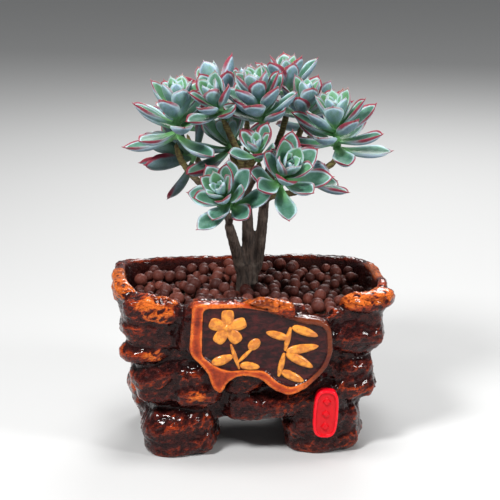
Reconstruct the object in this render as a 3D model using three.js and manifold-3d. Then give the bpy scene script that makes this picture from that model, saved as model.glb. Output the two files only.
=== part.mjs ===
// A tree-form echeveria, a rosette succulent grown as a miniature tree, in a moulded rock-work pot.
// Millimetres, +Z up, standing on Z = 0, with the front of the pot facing -Y.
// The pot is one glazed casting with a drainage hole. It holds a piece of drainage mesh, the growing
// mix and a dressing of fired clay granules. The plant is a woody stem that forks into branches, and
// each branch carries one rosette of fleshy leaves.
import * as THREE from "three";
import { mergeVertices } from "three/addons/utils/BufferGeometryUtils.js";
import Module from "manifold-3d";

const wasm = await Module();
wasm.setup();

// Driving dimensions of the pot
const RIM_HALF_X = 84;
const RIM_HALF_Y = 57;
const RIM_Z = 101;
const BODY_BOTTOM_Z = 22;
const FLOOR_Z = 30;
const WALL = 7;
const DRAIN_R = 8;
const CORNER_POWER = 5; // the superellipse power of the pot's plan

// Driving dimensions of what the pot holds
const GAP = 0.3; // clearance between pieces that rest on each other
const MIX_TOP_Z = 84;
const BED_Z = 89.5; // the level of the joints between the granules
const GRANULE_PITCH = 12.8;

// Driving dimensions of the plant
const TRUNK = [-1, 9]; // where the stem stands in the pot
const LEAF_WIDTH = 0.49; // a leaf's width as a share of its length
const WIDEST_LEAF = 13.2; // which no leaf's width passes
const LEAF_THICKNESS = 0.11; // and its thickness as a share of its length
const LEAF_CUP = 0.42; // how far the margins rise, as a share of the half width
const KEEL = 0.7; // how much of the thickness lies under the line between the margins
const STALK_R = 2.8; // a rosette's fleshy stalk, at its base
const GOLDEN_ANGLE = 137.5; // from each leaf to the next round the stalk, in degrees
const OPENING_POWER = 0.8; // how the leaves' opening falls up the stalk
const LENGTH_POWER = 2; // and how their length does
const LOWEST_LEAF = 2.4; // the least height of a leaf on its stalk
const CLEARANCE = 2.7; // room that a leaf needs round it
const FOLDS = 6; // how many steps a leaf is folded up by, to find room
const FOLD = 0.12; // the share of its opening that it loses at each
const SHORTEN = 0.05; // the share of its length that it loses at each
const SWING = 14; // and how far it may turn aside, in degrees

const rad = THREE.MathUtils.degToRad;
const clamp = THREE.MathUtils.clamp;
const mix = THREE.MathUtils.lerp;
const vec = (x, y, z) => new THREE.Vector3(x, y, z);

// A repeatable figure from -1 to 1 for natural variation.
function vary(seed) {
  const s = Math.sin(seed * 12.9898) * 43758.5453;
  return 2 * (s - Math.floor(s)) - 1;
}

// Linear interpolation in a short list of [position, value] pairs.
function along(profile, at) {
  const next = profile.findIndex(([p]) => p >= at);
  if (next < 0) return profile[profile.length - 1][1];
  if (next === 0) return profile[0][1];
  const [p0, v0] = profile[next - 1];
  const [p1, v1] = profile[next];
  return mix(v0, v1, (at - p0) / (p1 - p0));
}

// A closed geometry as a solid for joins and cuts.
function solid(geometry) {
  const bare = geometry.clone();
  bare.deleteAttribute("normal");
  bare.deleteAttribute("uv");
  const merged = mergeVertices(bare, 1e-4);
  const made = new wasm.Manifold(
    new wasm.Mesh({
      numProp: 3,
      vertProperties: merged.attributes.position.array,
      triVerts: new Uint32Array(merged.index.array),
    }),
  );
  if (made.volume() <= 0) throw new Error("a solid is inside out");
  return made;
}

const join = (solids) => solids.reduce((all, one) => all.add(one));

// The largest body of a solid, without loose scraps and without slivers finer than the eye can see
const SLIVER = 0.08;
function mainBody(made) {
  return made
    .simplify(SLIVER)
    .decompose()
    .reduce((a, b) => (a.volume() > b.volume() ? a : b));
}

function meshOf(name, made, material) {
  const { numProp, numVert, vertProperties, triVerts } = made.getMesh();
  const position = new Float32Array(numVert * 3);
  for (let i = 0; i < numVert; i++)
    position.set(vertProperties.subarray(i * numProp, i * numProp + 3), i * 3);
  const geometry = new THREE.BufferGeometry();
  geometry.setAttribute("position", new THREE.BufferAttribute(position, 3));
  geometry.setIndex(new THREE.BufferAttribute(triVerts, 1));
  geometry.computeVertexNormals();
  const mesh = new THREE.Mesh(geometry, material);
  mesh.name = name;
  return mesh;
}

// Moves each vertex of a geometry through a function of its position.
function reshape(geometry, move) {
  const position = geometry.attributes.position;
  for (let i = 0; i < position.count; i++) {
    const p = move(new THREE.Vector3().fromBufferAttribute(position, i));
    position.setXYZ(i, p.x, p.y, p.z);
  }
  return geometry;
}

// Glazed pot

// Half the width and half the depth of the outside at each height
const OUTSIDE = [
  [[22, 68], [34, 70], [52, 71], [66, 75], [84, 81], [98, RIM_HALF_X], [112, RIM_HALF_X]],
  [[22, 45], [34, 47], [52, 49], [66, 51], [84, 54], [98, RIM_HALF_Y], [112, RIM_HALF_Y]],
];
// and of the inside, whose walls are plain
const INSIDE = [
  [[FLOOR_Z, 60], [RIM_Z, RIM_HALF_X - WALL], [125, RIM_HALF_X - WALL + 5]],
  [[FLOOR_Z, 38], [RIM_Z, RIM_HALF_Y - WALL], [125, RIM_HALF_Y - WALL + 3]],
];

// The pot's plan at a height, as a point at a turn from 0 to 1, moved in by an inset.
function planPoint([halfX, halfY], turn, z, inset) {
  const angle = turn * 2 * Math.PI;
  const power = 2 / CORNER_POWER;
  const c = Math.cos(angle);
  const s = Math.sin(angle);
  const x = (along(halfX, z) - inset) * Math.sign(c) * Math.abs(c) ** power;
  const y = (along(halfY, z) - inset) * Math.sign(s) * Math.abs(s) ** power;
  return vec(x, y, z);
}

// The rock's relief in mm at a point: worn layers with cracks across them.
function rockRelief({ x, y, z }) {
  const layers = Math.sin(z * 0.36 + 1.5 * Math.sin(x * 0.07 + 0.5) + 0.9 * Math.sin(y * 0.09));
  const cracks = Math.sin(x * 0.21 + 0.4 * Math.sin(z * 0.2)) * Math.sin(y * 0.23 + z * 0.08);
  const grain = Math.sin(x * 0.55 + z * 0.31) * Math.sin(z * 0.6 - y * 0.43);
  return 0.9 * layers + 0.7 * cracks + 0.4 * grain;
}

// The broken rim's height round the pot, from its sides at 0 and 0.5 to its front at 0.75.
const RIM = [
  [0, 103], [0.06, 100], [0.14, 100.5], [0.25, 101.5], [0.36, 101.5], [0.44, 104],
  [0.5, 106.5], [0.56, 103], [0.62, 101], [0.68, 97], [0.75, 98], [0.81, 92], [0.87, 92],
  [0.92, 101], [0.97, 105], [1, 103],
];

// A closed shape from rows of plan points, from its top down: [height, inset] each, where a height may
// be a function of the turn. It closes at a point over the middle of its first and last row.
function stackedPlan(plan, rows, top, relief = () => 0) {
  const last = rows.length + 1;
  const columns = 28;
  const geometry = new THREE.SphereGeometry(1, columns, last);
  const position = geometry.attributes.position;
  for (let row = 0; row <= last; row++)
    for (let column = 0; column <= columns; column++) {
      const turn = (column % columns) / columns;
      const [z, inset] = rows[clamp(row - 1, 0, rows.length - 1)];
      const p = planPoint(plan, turn, typeof z === "function" ? z(turn) : z, inset);
      if (row === 0) p.set(0, 0, top);
      else if (row === last) p.set(0, 0, p.z);
      else p.addScaledVector(vec(p.x, p.y, 0).normalize(), relief(p));
      position.setXYZ(row * (columns + 1) + column, p.x, p.y, p.z);
    }
  return geometry;
}

// The outer form, closed over the top.
function potBody() {
  const rim = (turn) => along(RIM, turn);
  const lip = (turn) => along(RIM, turn) - 3;
  const rows = [[rim, 12], [rim, 3], [lip, 0], [84, 0], [74, 0], [63, 0], [50, 0], [36, 0]];
  rows.push([BODY_BOTTOM_Z, 4]);
  return stackedPlan(OUTSIDE, rows, RIM_Z, (p) => (p.z > 88 ? 0.5 : 1) * rockRelief(p));
}

// The pot's inside between two heights, less a clearance.
function inside(low, high, clearance) {
  const rows = [[high, clearance], [Math.min(high - 1, RIM_Z), clearance], [low, clearance]];
  return solid(stackedPlan(INSIDE, rows, high));
}

// A boulder in the casting: [centre, half sizes], roughened by the rock's relief.
function boulder([centre, half], columns = 7, rows = 4) {
  const geometry = new THREE.SphereGeometry(1, columns, rows).rotateX(Math.PI / 2);
  return reshape(geometry, (p) => {
    const square = Math.max(Math.abs(p.x), Math.abs(p.y), Math.abs(p.z)) || 1;
    const full = p.clone().multiplyScalar(mix(1, 1 / square, 0.3));
    const placed = vec(full.x * half[0], full.y * half[1], full.z * half[2]);
    placed.add(vec(...centre));
    return placed.add(p.clone().multiplyScalar(1.4 * rockRelief(placed)));
  });
}

const FEET = [
  [[-46, -29, 14], [24, 23, 19]],
  [[42, -29, 14], [25, 23, 19]],
  [[-48, 28, 14], [24, 21, 19]],
  [[45, 28, 14], [24, 21, 19]],
];

const BOULDERS = [
  // The front left column, from the rim down
  [[-62, -47, 95], [20, 12, 8]],
  [[-63, -43, 81], [18, 13, 11]],
  [[-67, -41, 66], [15, 13, 7]],
  [[-58, -38, 50], [18, 15, 16]],
  [[-36, -44, 44], [15, 12, 14]],
  // The front right column
  [[67, -44, 98], [19, 14, 6]],
  [[60, -42, 79], [19, 14, 17]],
  [[57, -38, 45], [17, 15, 15]],
  [[38, -42, 31], [18, 12, 20]],
  // Under the plaque
  [[-8, -48, 49], [14, 8, 8]],
  [[6, -44, 31], [28, 10, 9]],
  // The left side
  [[-79, -18, 101], [8, 26, 7]],
  [[-72, 16, 72], [9, 20, 14]],
  [[-67, -6, 38], [10, 20, 17]],
  // The right side
  [[77, 6, 90], [7, 26, 12]],
  [[68, 18, 48], [8, 20, 15]],
  // The back
  [[-46, 45, 80], [22, 9, 15]],
  [[4, 45, 58], [24, 8, 17]],
  [[50, 44, 76], [20, 9, 16]],
  [[-42, 40, 40], [18, 10, 14]],
];

// Shaped things on the front stand on a plane that leans with the wall: x across, y up it, z out.
const FRONT_Y = -58.5;
const FRONT_Z = 73;
const FRONT_LEAN = rad(5);
function onFront(geometry, out = 0) {
  return geometry
    .translate(0, 0, out)
    .rotateX(Math.PI / 2 + FRONT_LEAN)
    .translate(0, FRONT_Y, FRONT_Z);
}

// The plaque is two joined blank stones. Its outline, as [across, up from FRONT_Z].
const PLAQUE = [
  [-40, 29.5], [-7, 29], [8, 25], [23, 20], [38, 17.5], [43.5, 12], [44.5, -4], [40, -15],
  [29, -26], [19, -31], [9, -27], [1, -19], [-10, -16.5], [-18, -19.5], [-23, -29],
  [-28, -24.5], [-31, -14], [-42, -2],
];
const PLAQUE_DEPTH = 6;
const PLAQUE_BORDER = 3;
const PLAQUE_RECESS = 1;
// A strip of bevelled rock stands beside its left edge.
const FLANK = [[-40, 27], [-44, 23], [-49, -2], [-40, -3]];
// A pointed tongue of broken rock lies over its upper edge.
const TONGUE = [[-9, 30.5], [4, 33], [20, 29], [22, 21], [16, 20], [4, 26]];

// A polygon moved in by a distance, corner by corner. The points run clockwise.
function insetOutline(points, distance) {
  const count = points.length;
  return points.map(([x, y], i) => {
    const [px, py] = points[(i + count - 1) % count];
    const [nx, ny] = points[(i + 1) % count];
    const before = new THREE.Vector2(y - py, px - x).normalize();
    const after = new THREE.Vector2(ny - y, x - nx).normalize();
    const miter = before.clone().add(after).normalize();
    const reach = distance / Math.max(0.5, miter.dot(before));
    return [x + miter.x * reach, y + miter.y * reach];
  });
}

const shapeOf = (points) => new THREE.Shape(points.map(([x, y]) => new THREE.Vector2(x, y)));

function prism(points, depth, bevel = 0) {
  return new THREE.ExtrudeGeometry(shapeOf(points), {
    depth,
    steps: 1,
    bevelEnabled: bevel > 0,
    bevelSize: bevel,
    bevelThickness: bevel,
    bevelOffset: -bevel,
    bevelSegments: 1,
  });
}

// The ornaments are low ovals with sloping sides: [across, up, half length, half width, turn, height].
// On the left stone, a sprig with a five-petalled blossom, a bud and leaves
const BLOSSOM = [-19, 14];
const PETALS = [90, 162, 234, 306, 18].map((turn) => {
  const reach = 6.3;
  const across = BLOSSOM[0] + reach * Math.cos(rad(turn));
  return [across, BLOSSOM[1] + reach * Math.sin(rad(turn)), 5.4, 4.3, turn, 1.8];
});
const SPRIG = [
  ...PETALS,
  [-19, 14, 2.8, 2.8, 0, 2.4],
  [-14.5, -4.5, 8.6, 1.8, 108, 1.6],
  [-22, -6.5, 7, 3.2, 21, 1.8],
  [-8.5, -4, 6.5, 1.7, 45, 1.6],
  [-3, 3, 4.4, 3.3, 45, 1.9],
  [-5.5, -11, 6, 2.8, -8, 1.8],
];
// and on the right stone, a bamboo cane with its leaves
const BAMBOO = [
  [13.5, -10.5, 7.8, 1.9, 78, 1.7],
  [17.2, 6, 7.8, 1.8, 78, 1.7],
  [27.5, 10.5, 8.5, 2.8, -22, 1.8],
  [26, -0.5, 10, 3, 8, 1.8],
  [24.5, -8, 9.5, 3, -31, 1.8],
  [10.5, 8.5, 6.8, 2.6, 162, 1.8],
  [20.5, -18.5, 8, 2.8, -28, 1.8],
];

const ornament = ([across, up, halfLong, halfWide, turn, height]) =>
  onFront(
    new THREE.CylinderGeometry(0.72, 1.1, 2 * height, 6)
      .rotateX(Math.PI / 2)
      .scale(halfLong, halfWide, 1)
      .rotateZ(rad(turn))
      .translate(across, up, 0),
    PLAQUE_DEPTH - PLAQUE_RECESS,
  );

// The red cartouche on the right foot: a raised oval tablet with a chain of lozenges.
const TABLET = [41.5, -45];
const TABLET_HALF = [7.6, 15.6];
const TABLET_TILT = -3;
function tablet() {
  const oval = (shrink) =>
    Array.from({ length: 16 }, (_, k) => {
      const turn = rad(11.25 + 22.5 * k);
      const wide = Math.sign(Math.cos(turn)) * Math.abs(Math.cos(turn)) ** 0.6;
      const tall = Math.sign(Math.sin(turn)) * Math.abs(Math.sin(turn)) ** 0.6;
      return [(TABLET_HALF[0] - shrink) * wide, (TABLET_HALF[1] - shrink) * tall];
    });
  const place = (geometry, out) =>
    onFront(geometry.rotateZ(rad(TABLET_TILT)).translate(...TABLET, 0), out);
  const plate = solid(place(prism(oval(0), 12), -9));
  const recess = solid(place(prism(oval(1.5), 4), 2.3));
  const lozenges = [-8.2, 0, 8.2].map((up) =>
    solid(place(prism([[0, 3.6], [2.9, 0], [0, -3.6], [-2.9, 0]], 3.6).translate(0, up, 0), -0.8)),
  );
  return join([plate.subtract(recess), ...lozenges]);
}

// The plaque, its border standing round a sunk field, with the strip of rock beside it
function plaquePanel() {
  const sunk = insetOutline(PLAQUE, PLAQUE_BORDER);
  const plate = solid(onFront(prism(PLAQUE, PLAQUE_DEPTH + 8, 1.4), -8));
  const recess = solid(onFront(prism(sunk, 6), PLAQUE_DEPTH - PLAQUE_RECESS));
  return join([plate.subtract(recess), solid(onFront(prism(FLANK, 10, 1), -8))]);
}

// What is hollowed out of the rock: a knot in the front left of the rim, and a dip in its front right
const KNOT = [[-56, -60, 103], [9, 6, 4.5]];
const DIP = [[36, -57, 104], [10.5, 14, 15]];

function pot() {
  const ornaments = [...SPRIG, ...BAMBOO].map((row) => solid(ornament(row)));
  const tongue = solid(onFront(prism(TONGUE, 8, 1.6), 1));
  const lumps = [...FEET, ...BOULDERS].map((lump) => solid(boulder(lump)));
  const under = solid(new THREE.BoxGeometry(300, 300, 60).translate(0, 0, -30));
  const drain = solid(
    new THREE.CylinderGeometry(DRAIN_R, DRAIN_R, 40, 16).rotateX(Math.PI / 2).translate(0, 0, FLOOR_Z),
  );
  const rock = join([solid(potBody()), ...lumps]).subtract(solid(boulder(KNOT, 8, 5)));
  const front = join([rock, plaquePanel(), tongue]).subtract(solid(boulder(DIP, 8, 6)));
  const whole = join([front, ...ornaments, tablet()]);
  return mainBody(whole.subtract(inside(FLOOR_Z, 125, 0)).subtract(under).subtract(drain));
}

// Drainage mesh over the hole, under the mix

const DRAIN_MESH = { half: 13, thick: 1.2, hole: 7, pitch: 11 };
function drainageMesh() {
  const { half, thick, hole, pitch } = DRAIN_MESH;
  const z = FLOOR_Z + GAP + thick / 2;
  const sheet = solid(new THREE.BoxGeometry(2 * half, 2 * half, thick).translate(0, 0, z));
  const holes = [-0.5, 0.5].flatMap((i) =>
    [-0.5, 0.5].map((j) =>
      solid(new THREE.BoxGeometry(hole, hole, 2 * thick).translate(i * pitch, j * pitch, z)),
    ),
  );
  return holes.reduce((left, h) => left.subtract(h), sheet);
}

// Plant: the woody stem

// A branch runs along a curve from one end to the other, with its radius at both ends.
const bezier = (a, b, c, d) => new THREE.CubicBezierCurve3(vec(...a), vec(...b), vec(...c), vec(...d));

// A closed tapered tube along a branch, made thicker all round by grow.
function branchSolid({ curve, from, to, steps = 2 }, grow = 0, sides = 5) {
  const geometry = new THREE.CylinderGeometry(1, 1, 1, sides, steps);
  const level = curve.getPoint(1).sub(curve.getPoint(0)).cross(vec(0, 0, 1));
  const reference = level.length() > 2 ? level.normalize() : vec(1, 0, 0);
  return solid(
    reshape(geometry, (p) => {
      const t = p.y + 0.5;
      const tangent = curve.getTangent(t);
      const side = new THREE.Vector3().crossVectors(reference, tangent).normalize();
      const up = new THREE.Vector3().crossVectors(tangent, side);
      const r = mix(from, to, t) + grow;
      const end = t < 0.001 ? -grow : t > 0.999 ? grow : 0;
      return curve
        .getPoint(t)
        .addScaledVector(up, r * p.x)
        .addScaledVector(side, r * p.z)
        .addScaledVector(tangent, end);
    }),
  );
}

const [TX, TY] = TRUNK;
const LIMBS = [
  // The butt of the trunk, which stands in the mix
  {
    curve: bezier([TX, TY, 66], [TX, TY, 84], [TX, TY, 98], [TX, TY, 112]),
    from: 8.6, to: 6, steps: 2,
  },
  // Its left, middle and right limbs
  {
    curve: bezier([TX - 3, TY, 98], [TX - 5, TY - 2, 112], [TX - 10, TY - 6, 124], [-14, -1, 138]),
    from: 4.2, to: 3, steps: 3,
  },
  {
    curve: bezier([TX, TY, 100], [TX + 1, TY, 120], [TX, TY - 3, 140], [-2, 4, 160]),
    from: 4.6, to: 2.8, steps: 3,
  },
  {
    curve: bezier([TX + 4, TY, 98], [TX + 8, TY, 114], [TX + 10, TY - 1, 136], [10, 4, 158]),
    from: 4.2, to: 2.9, steps: 3,
  },
];

// The main roots, in the mix
const ROOT_COUNT = 4;
const ROOTS = Array.from({ length: ROOT_COUNT }, (_, k) => {
  const turn = rad(20 + (360 / ROOT_COUNT) * k);
  const at = (reach, z) => [TX + reach * Math.cos(turn), TY + reach * Math.sin(turn), z];
  return { curve: bezier(at(0, 74), at(14, 74), at(22, 66), at(26, 56)), from: 4, to: 1.8 };
});

// Plant: the rosettes. Each grows on a fleshy stalk from its base to its top, and its branch leaves a limb
// at a share of the limb's length. Its leaves follow each other by the golden angle up the stalk, left
// handed or right handed from the first one's turn, and go from the widest open and longest to the most
// upright and shortest. A leaf is [its height on the stalk, its turn round the stalk in degrees, its
// opening from the stalk in degrees, its length].
const ROSETTES = [
  {
    name: "rosette_front_right", base: [13.5, -38, 165.5], top: [17.5, -52, 178.5], limb: 3, fork: 0.72,
    leaves: 18, first: 186, hand: -1, open: [84, 10], long: [33, 17],
  },
  {
    name: "rosette_front_left", base: [-12.5, -34, 153], top: [-20.5, -48, 165.5], limb: 1, fork: 0.86,
    leaves: 17, first: 357, hand: -1, open: [77, 18], long: [27.5, 17],
  },
  {
    name: "rosette_front_upper", base: [2.5, -32, 181.5], top: [1, -38, 190], limb: 2, fork: 0.8,
    leaves: 11, first: 111, hand: -1, open: [74, 6], long: [22, 8.5],
  },
  {
    name: "rosette_right", base: [53, -10, 181.5], top: [50.5, -16, 206], limb: 3, fork: 0.9,
    leaves: 23, first: 359, hand: 1, open: [99, 13], long: [34.5, 14],
  },
  {
    name: "rosette_left", base: [-46, -10, 190], top: [-45.5, -15, 217], limb: 1, fork: 1,
    leaves: 22, first: 171, hand: 1, open: [105, 10], long: [34, 12.5],
  },
  {
    name: "rosette_top", base: [7, -15, 200], top: [2.5, -20, 220.5], limb: 2, fork: 1,
    leaves: 22, first: 151, hand: 1, open: [76, 14], long: [29, 18],
  },
  {
    name: "rosette_upper_left", base: [-18.5, -17, 205.5], top: [-22.5, -22, 215], limb: 2, fork: 0.94,
    leaves: 16, first: 128, hand: -1, open: [85, 11], long: [27, 18],
  },
  {
    name: "rosette_top_back", base: [25.5, 20, 211.5], top: [25, 20, 223], limb: 3, fork: 1,
    leaves: 13, first: 197, hand: -1, open: [74, 10], long: [29, 10],
  },
  {
    name: "rosette_upper_right", base: [33.5, 6, 198], top: [34.5, 3, 211], limb: 3, fork: 0.96,
    leaves: 13, first: 160, hand: -1, open: [76, 6], long: [27, 14],
  },
  {
    name: "rosette_heart", base: [-11.5, 3, 180.5], top: [-13, 1, 188.5], limb: 2, fork: 0.88,
    leaves: 10, first: 128, hand: -1, open: [90, 6], long: [31, 14],
    old: [[2.4, 217, 84, 46]], skin: 0x4a6a50,
  },
  {
    name: "rosette_left_lower", base: [-32.5, 12, 173.5], top: [-42, 16, 178], limb: 1, fork: 0.97,
    leaves: 10, first: 122, hand: -1, open: [79, 8], long: [36, 20],
    skin: 0x55655a,
  },
  {
    name: "rosette_right_lower", base: [35.5, -4, 159], top: [41.5, -7, 167], limb: 3, fork: 0.82,
    leaves: 8, first: 38, hand: 1, open: [83, 14], long: [28, 14],
  },
  {
    name: "rosette_back_upper", base: [-14.5, 20, 202], top: [-19, 24, 215.5], limb: 2, fork: 0.98,
    leaves: 10, first: 7, hand: 1, open: [84, 6], long: [35, 16.5],
  },
  {
    name: "rosette_back_left", base: [-37, 40, 186], top: [-42, 46, 203], limb: 1, fork: 0.92,
    leaves: 14, first: 20, hand: 1, open: [92, 9], long: [29, 12],
  },
  {
    name: "rosette_back", base: [2, 46, 196], top: [2, 53, 212], limb: 2, fork: 0.9,
    leaves: 14, first: 80, hand: -1, open: [92, 9], long: [29, 12],
  },
  {
    name: "rosette_back_right", base: [43, 35, 188], top: [47, 41, 205], limb: 3, fork: 0.93,
    leaves: 14, first: 140, hand: 1, open: [92, 9], long: [29, 12],
  },
];

// Adds to a rosette its axis, its height and the directions that its leaves turn between.
function settle(rosette) {
  const base = vec(...rosette.base);
  const axis = vec(...rosette.top).sub(base);
  const height = axis.length();
  axis.normalize();
  const across = vec(1, 0, 0).addScaledVector(axis, -axis.x).normalize();
  const away = new THREE.Vector3().crossVectors(axis, across);
  return { ...rosette, base, axis, height, across, away };
}

// The branch to a rosette leaves its limb along it and arrives along the rosette's axis.
function twig({ base, axis, limb, fork }) {
  const start = LIMBS[limb].curve.getPoint(fork);
  const span = start.distanceTo(base);
  const towards = start.clone().addScaledVector(LIMBS[limb].curve.getTangent(fork), 0.3 * span);
  const arriving = base.clone().addScaledVector(axis, -0.35 * span);
  return { curve: new THREE.CubicBezierCurve3(start, towards, arriving, base), from: 2.5, to: 1.9 };
}

// A leaf's half width along its length, as a share of its largest half width: spoon shaped, with a neck
// behind its root's rounding, and a point.
const WIDEST = 0.62;
const ROOT_END = 0.06;
const NECK = 0.27;
const POINT_POWER = 2.1;
function leafOutline(t) {
  if (t > WIDEST) return 1 - ((t - WIDEST) / (1 - WIDEST)) ** POINT_POWER;
  const s = t / WIDEST;
  return Math.min(1, t / ROOT_END) * mix(NECK, 1, s * s * (3 - 2 * s));
}

// A point on a leaf: t runs from its root to its tip, around goes round its section.
function leafPoint({ base, axis, across, away }, [height, turn, opening, length], t, around) {
  const out = new THREE.Vector3()
    .addScaledVector(across, Math.cos(rad(turn)))
    .addScaledVector(away, Math.sin(rad(turn)));
  const side = new THREE.Vector3().crossVectors(axis, out);
  const bend = rad(14 + 0.25 * opening);
  const first = rad(opening) + bend / 2;
  const angle = first - bend * t;
  const reach = (length / bend) * (Math.cos(angle) - Math.cos(first));
  const rise = (length / bend) * (Math.sin(first) - Math.sin(angle));
  const share = leafOutline(t);
  const half = 0.5 * Math.min(LEAF_WIDTH * length, WIDEST_LEAF) * share;
  const [c, s] = [Math.cos(around), Math.sin(around)];
  const ends = Math.min(1, t / ROOT_END) * (1 - t ** 8);
  const full = LEAF_THICKNESS * length * mix(0.4, 1, share) * ends;
  const lift = LEAF_CUP * half * c * c + full * s * (s > 0 ? 1 - KEEL : KEEL);
  return base
    .clone()
    .addScaledVector(axis, height + rise + Math.sin(angle) * lift)
    .addScaledVector(out, 0.4 + reach - Math.cos(angle) * lift)
    .addScaledVector(side, half * c);
}

// A leaf as a closed solid, with a ring of four points at each station between its root and its tip
const STATIONS = [0, 0.2, 0.52, 0.84, 1];
const YOUNG_STATIONS = [0, 0.25, 0.7, 1];
const YOUNG_LENGTH = 25;
function leafSolid(rosette, leaf) {
  const stations = leaf[3] < YOUNG_LENGTH ? YOUNG_STATIONS : STATIONS;
  const last = stations.length - 1;
  const station = (y) => stations[Math.round((Math.acos(clamp(y, -1, 1)) / Math.PI) * last)];
  const geometry = new THREE.SphereGeometry(1, 4, last);
  return solid(
    reshape(geometry, (p) => leafPoint(rosette, leaf, station(p.y), Math.atan2(p.z, p.x))),
  );
}

function stalkSolid({ base, axis, height }) {
  const turn = new THREE.Quaternion().setFromUnitVectors(vec(0, 1, 0), axis);
  const geometry = new THREE.CylinderGeometry(0.5 * STALK_R, STALK_R, height - GAP, 6)
    .translate(0, (height + GAP) / 2, 0)
    .applyQuaternion(turn)
    .translate(...base.toArray());
  return solid(geometry);
}

const SETTLED = ROSETTES.map(settle);
const TWIGS = SETTLED.map(twig);

// The leaves of a rosette's spiral, as it would have them with room all round it
function spiralLeaves({ leaves, first, hand, open, long, height }) {
  return Array.from({ length: leaves }, (_, k) => {
    const share = k / (leaves - 1);
    const up = Math.max(LOWEST_LEAF, height * mix(0.1, 0.93, share));
    const opening = mix(open[0], open[1], share ** OPENING_POWER);
    return [up, first + hand * GOLDEN_ANGLE * k, opening, mix(long[0], long[1], share ** LENGTH_POWER)];
  });
}

// Points all over a leaf, by which a crossing is noticed
const PROBES = [0.15, 0.25, 0.36, 0.48, 0.6, 0.72, 0.83, 0.93, 1].flatMap((t) =>
  [-1, -0.66, -0.33, 0, 0.33, 0.66, 1].map((across) => [t, Math.acos(across)]),
);
const probesOf = (rosette, leaf) => PROBES.map(([t, around]) => leafPoint(rosette, leaf, t, around));

// What stands round a leaf, as balls: [centre, radius, name of the rosette that it belongs to]
const branchBalls = ({ curve, from, to }, owner) =>
  curve.getPoints(16).map((p, k) => [p, mix(from, to, k / 16), owner]);
const stalkBalls = ({ name, base, axis, height }) =>
  [0.1, 0.4, 0.7, 1].map((t) => [base.clone().addScaledVector(axis, t * height), STALK_R, name]);

function hasRoom(rosette, leaf, balls) {
  const points = probesOf(rosette, leaf);
  return balls.every(([centre, r, owner]) => {
    const near = (r + CLEARANCE) ** 2;
    return owner === rosette.name || points.every((p) => p.distanceToSquared(centre) > near);
  });
}

// The ways that a leaf may grow, best first: folded up and shortened more and more, and turned a little
const waysOf = ([up, turn, opening, length]) =>
  Array.from({ length: FOLDS }, (_, k) =>
    [0, -SWING, SWING].map((swing) => [
      up,
      turn + swing,
      opening * (1 - FOLD * k),
      length * (1 - SHORTEN * k),
    ]),
  ).flat();

// Grows every rosette's leaves clear of the other rosettes and of the branches. The most upright leaves
// come first. A leaf for which no way has room is left out.
function growLeaves(settled) {
  const balls = [...LIMBS.map((limb) => branchBalls(limb, "")), ...settled.map(stalkBalls)].flat();
  settled.forEach((rosette, k) => balls.push(...branchBalls(TWIGS[k], rosette.name)));
  const old = settled.flatMap((rosette) => (rosette.old ?? []).map((leaf) => [rosette, leaf]));
  const young = settled.flatMap((rosette) => spiralLeaves(rosette).map((leaf) => [rosette, leaf]));
  young.sort(([, a], [, b]) => a[2] - b[2]);
  const grown = new Map(settled.map((rosette) => [rosette, []]));
  for (const [rosette, wanted] of [...old, ...young]) {
    const leaf = waysOf(wanted).find((way) => hasRoom(rosette, way, balls));
    if (!leaf) continue;
    grown.get(rosette).push(leaf);
    balls.push(...probesOf(rosette, leaf).map((p) => [p, 0, rosette.name]));
  }
  return grown;
}

const LEAVES = growLeaves(SETTLED);
const rosetteSolid = (rosette) =>
  mainBody(join([stalkSolid(rosette), ...LEAVES.get(rosette).map((leaf) => leafSolid(rosette, leaf))]));

// What the pot holds round the plant

const stemHoles = () => [...LIMBS, ...ROOTS].map((b) => branchSolid(b, GAP));

function growingMix() {
  const rest = FLOOR_Z + 2 * GAP + DRAIN_MESH.thick;
  return mainBody(inside(rest, MIX_TOP_Z, GAP).subtract(join(stemHoles())));
}

// The level of the dressing, mounded a little round the stem.
function bedLevel(x, y) {
  const away = ((x - TX) ** 2 + (y - TY) ** 2) / (2 * 24 ** 2);
  return BED_Z + 4 * Math.exp(-away);
}

// The middle of a granule in a staggered field, a little off its place.
function granuleAt(i, j) {
  const seed = 400 + 40 * j + i;
  const x = GRANULE_PITCH * (i + (j % 2 ? 0.5 : 0) + 0.13 * vary(seed));
  const y = GRANULE_PITCH * (0.87 * j + 0.13 * vary(seed + 0.3));
  return vec(x, y, bedLevel(x, y) + 4.4 + 0.9 * vary(seed + 0.6));
}

// The faces of one granule's top: a small flat-sided dome that falls to the joints round it.
function granuleFaces(i, j) {
  const odd = j % 2 ? 1 : 0;
  const round = [[1, 0], [odd, 1], [odd - 1, 1], [-1, 0], [odd - 1, -1], [odd, -1]];
  const top = granuleAt(i, j);
  const near = round.map(([di, dj]) => granuleAt(i + di, j + dj));
  const joints = near.map((n, k) => {
    const joint = top.clone().add(n).add(near[(k + 1) % 6]).divideScalar(3);
    return joint.setZ(bedLevel(joint.x, joint.y));
  });
  const shoulder = joints.map((joint) => top.clone().lerp(joint, 0.66).setZ(top.z - 1.3));
  return joints.flatMap((joint, k) => {
    const next = (k + 1) % 6;
    return [
      [top, shoulder[k], shoulder[next]],
      [shoulder[k], joint, joints[next]],
      [shoulder[k], joints[next], shoulder[next]],
    ];
  });
}

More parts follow.
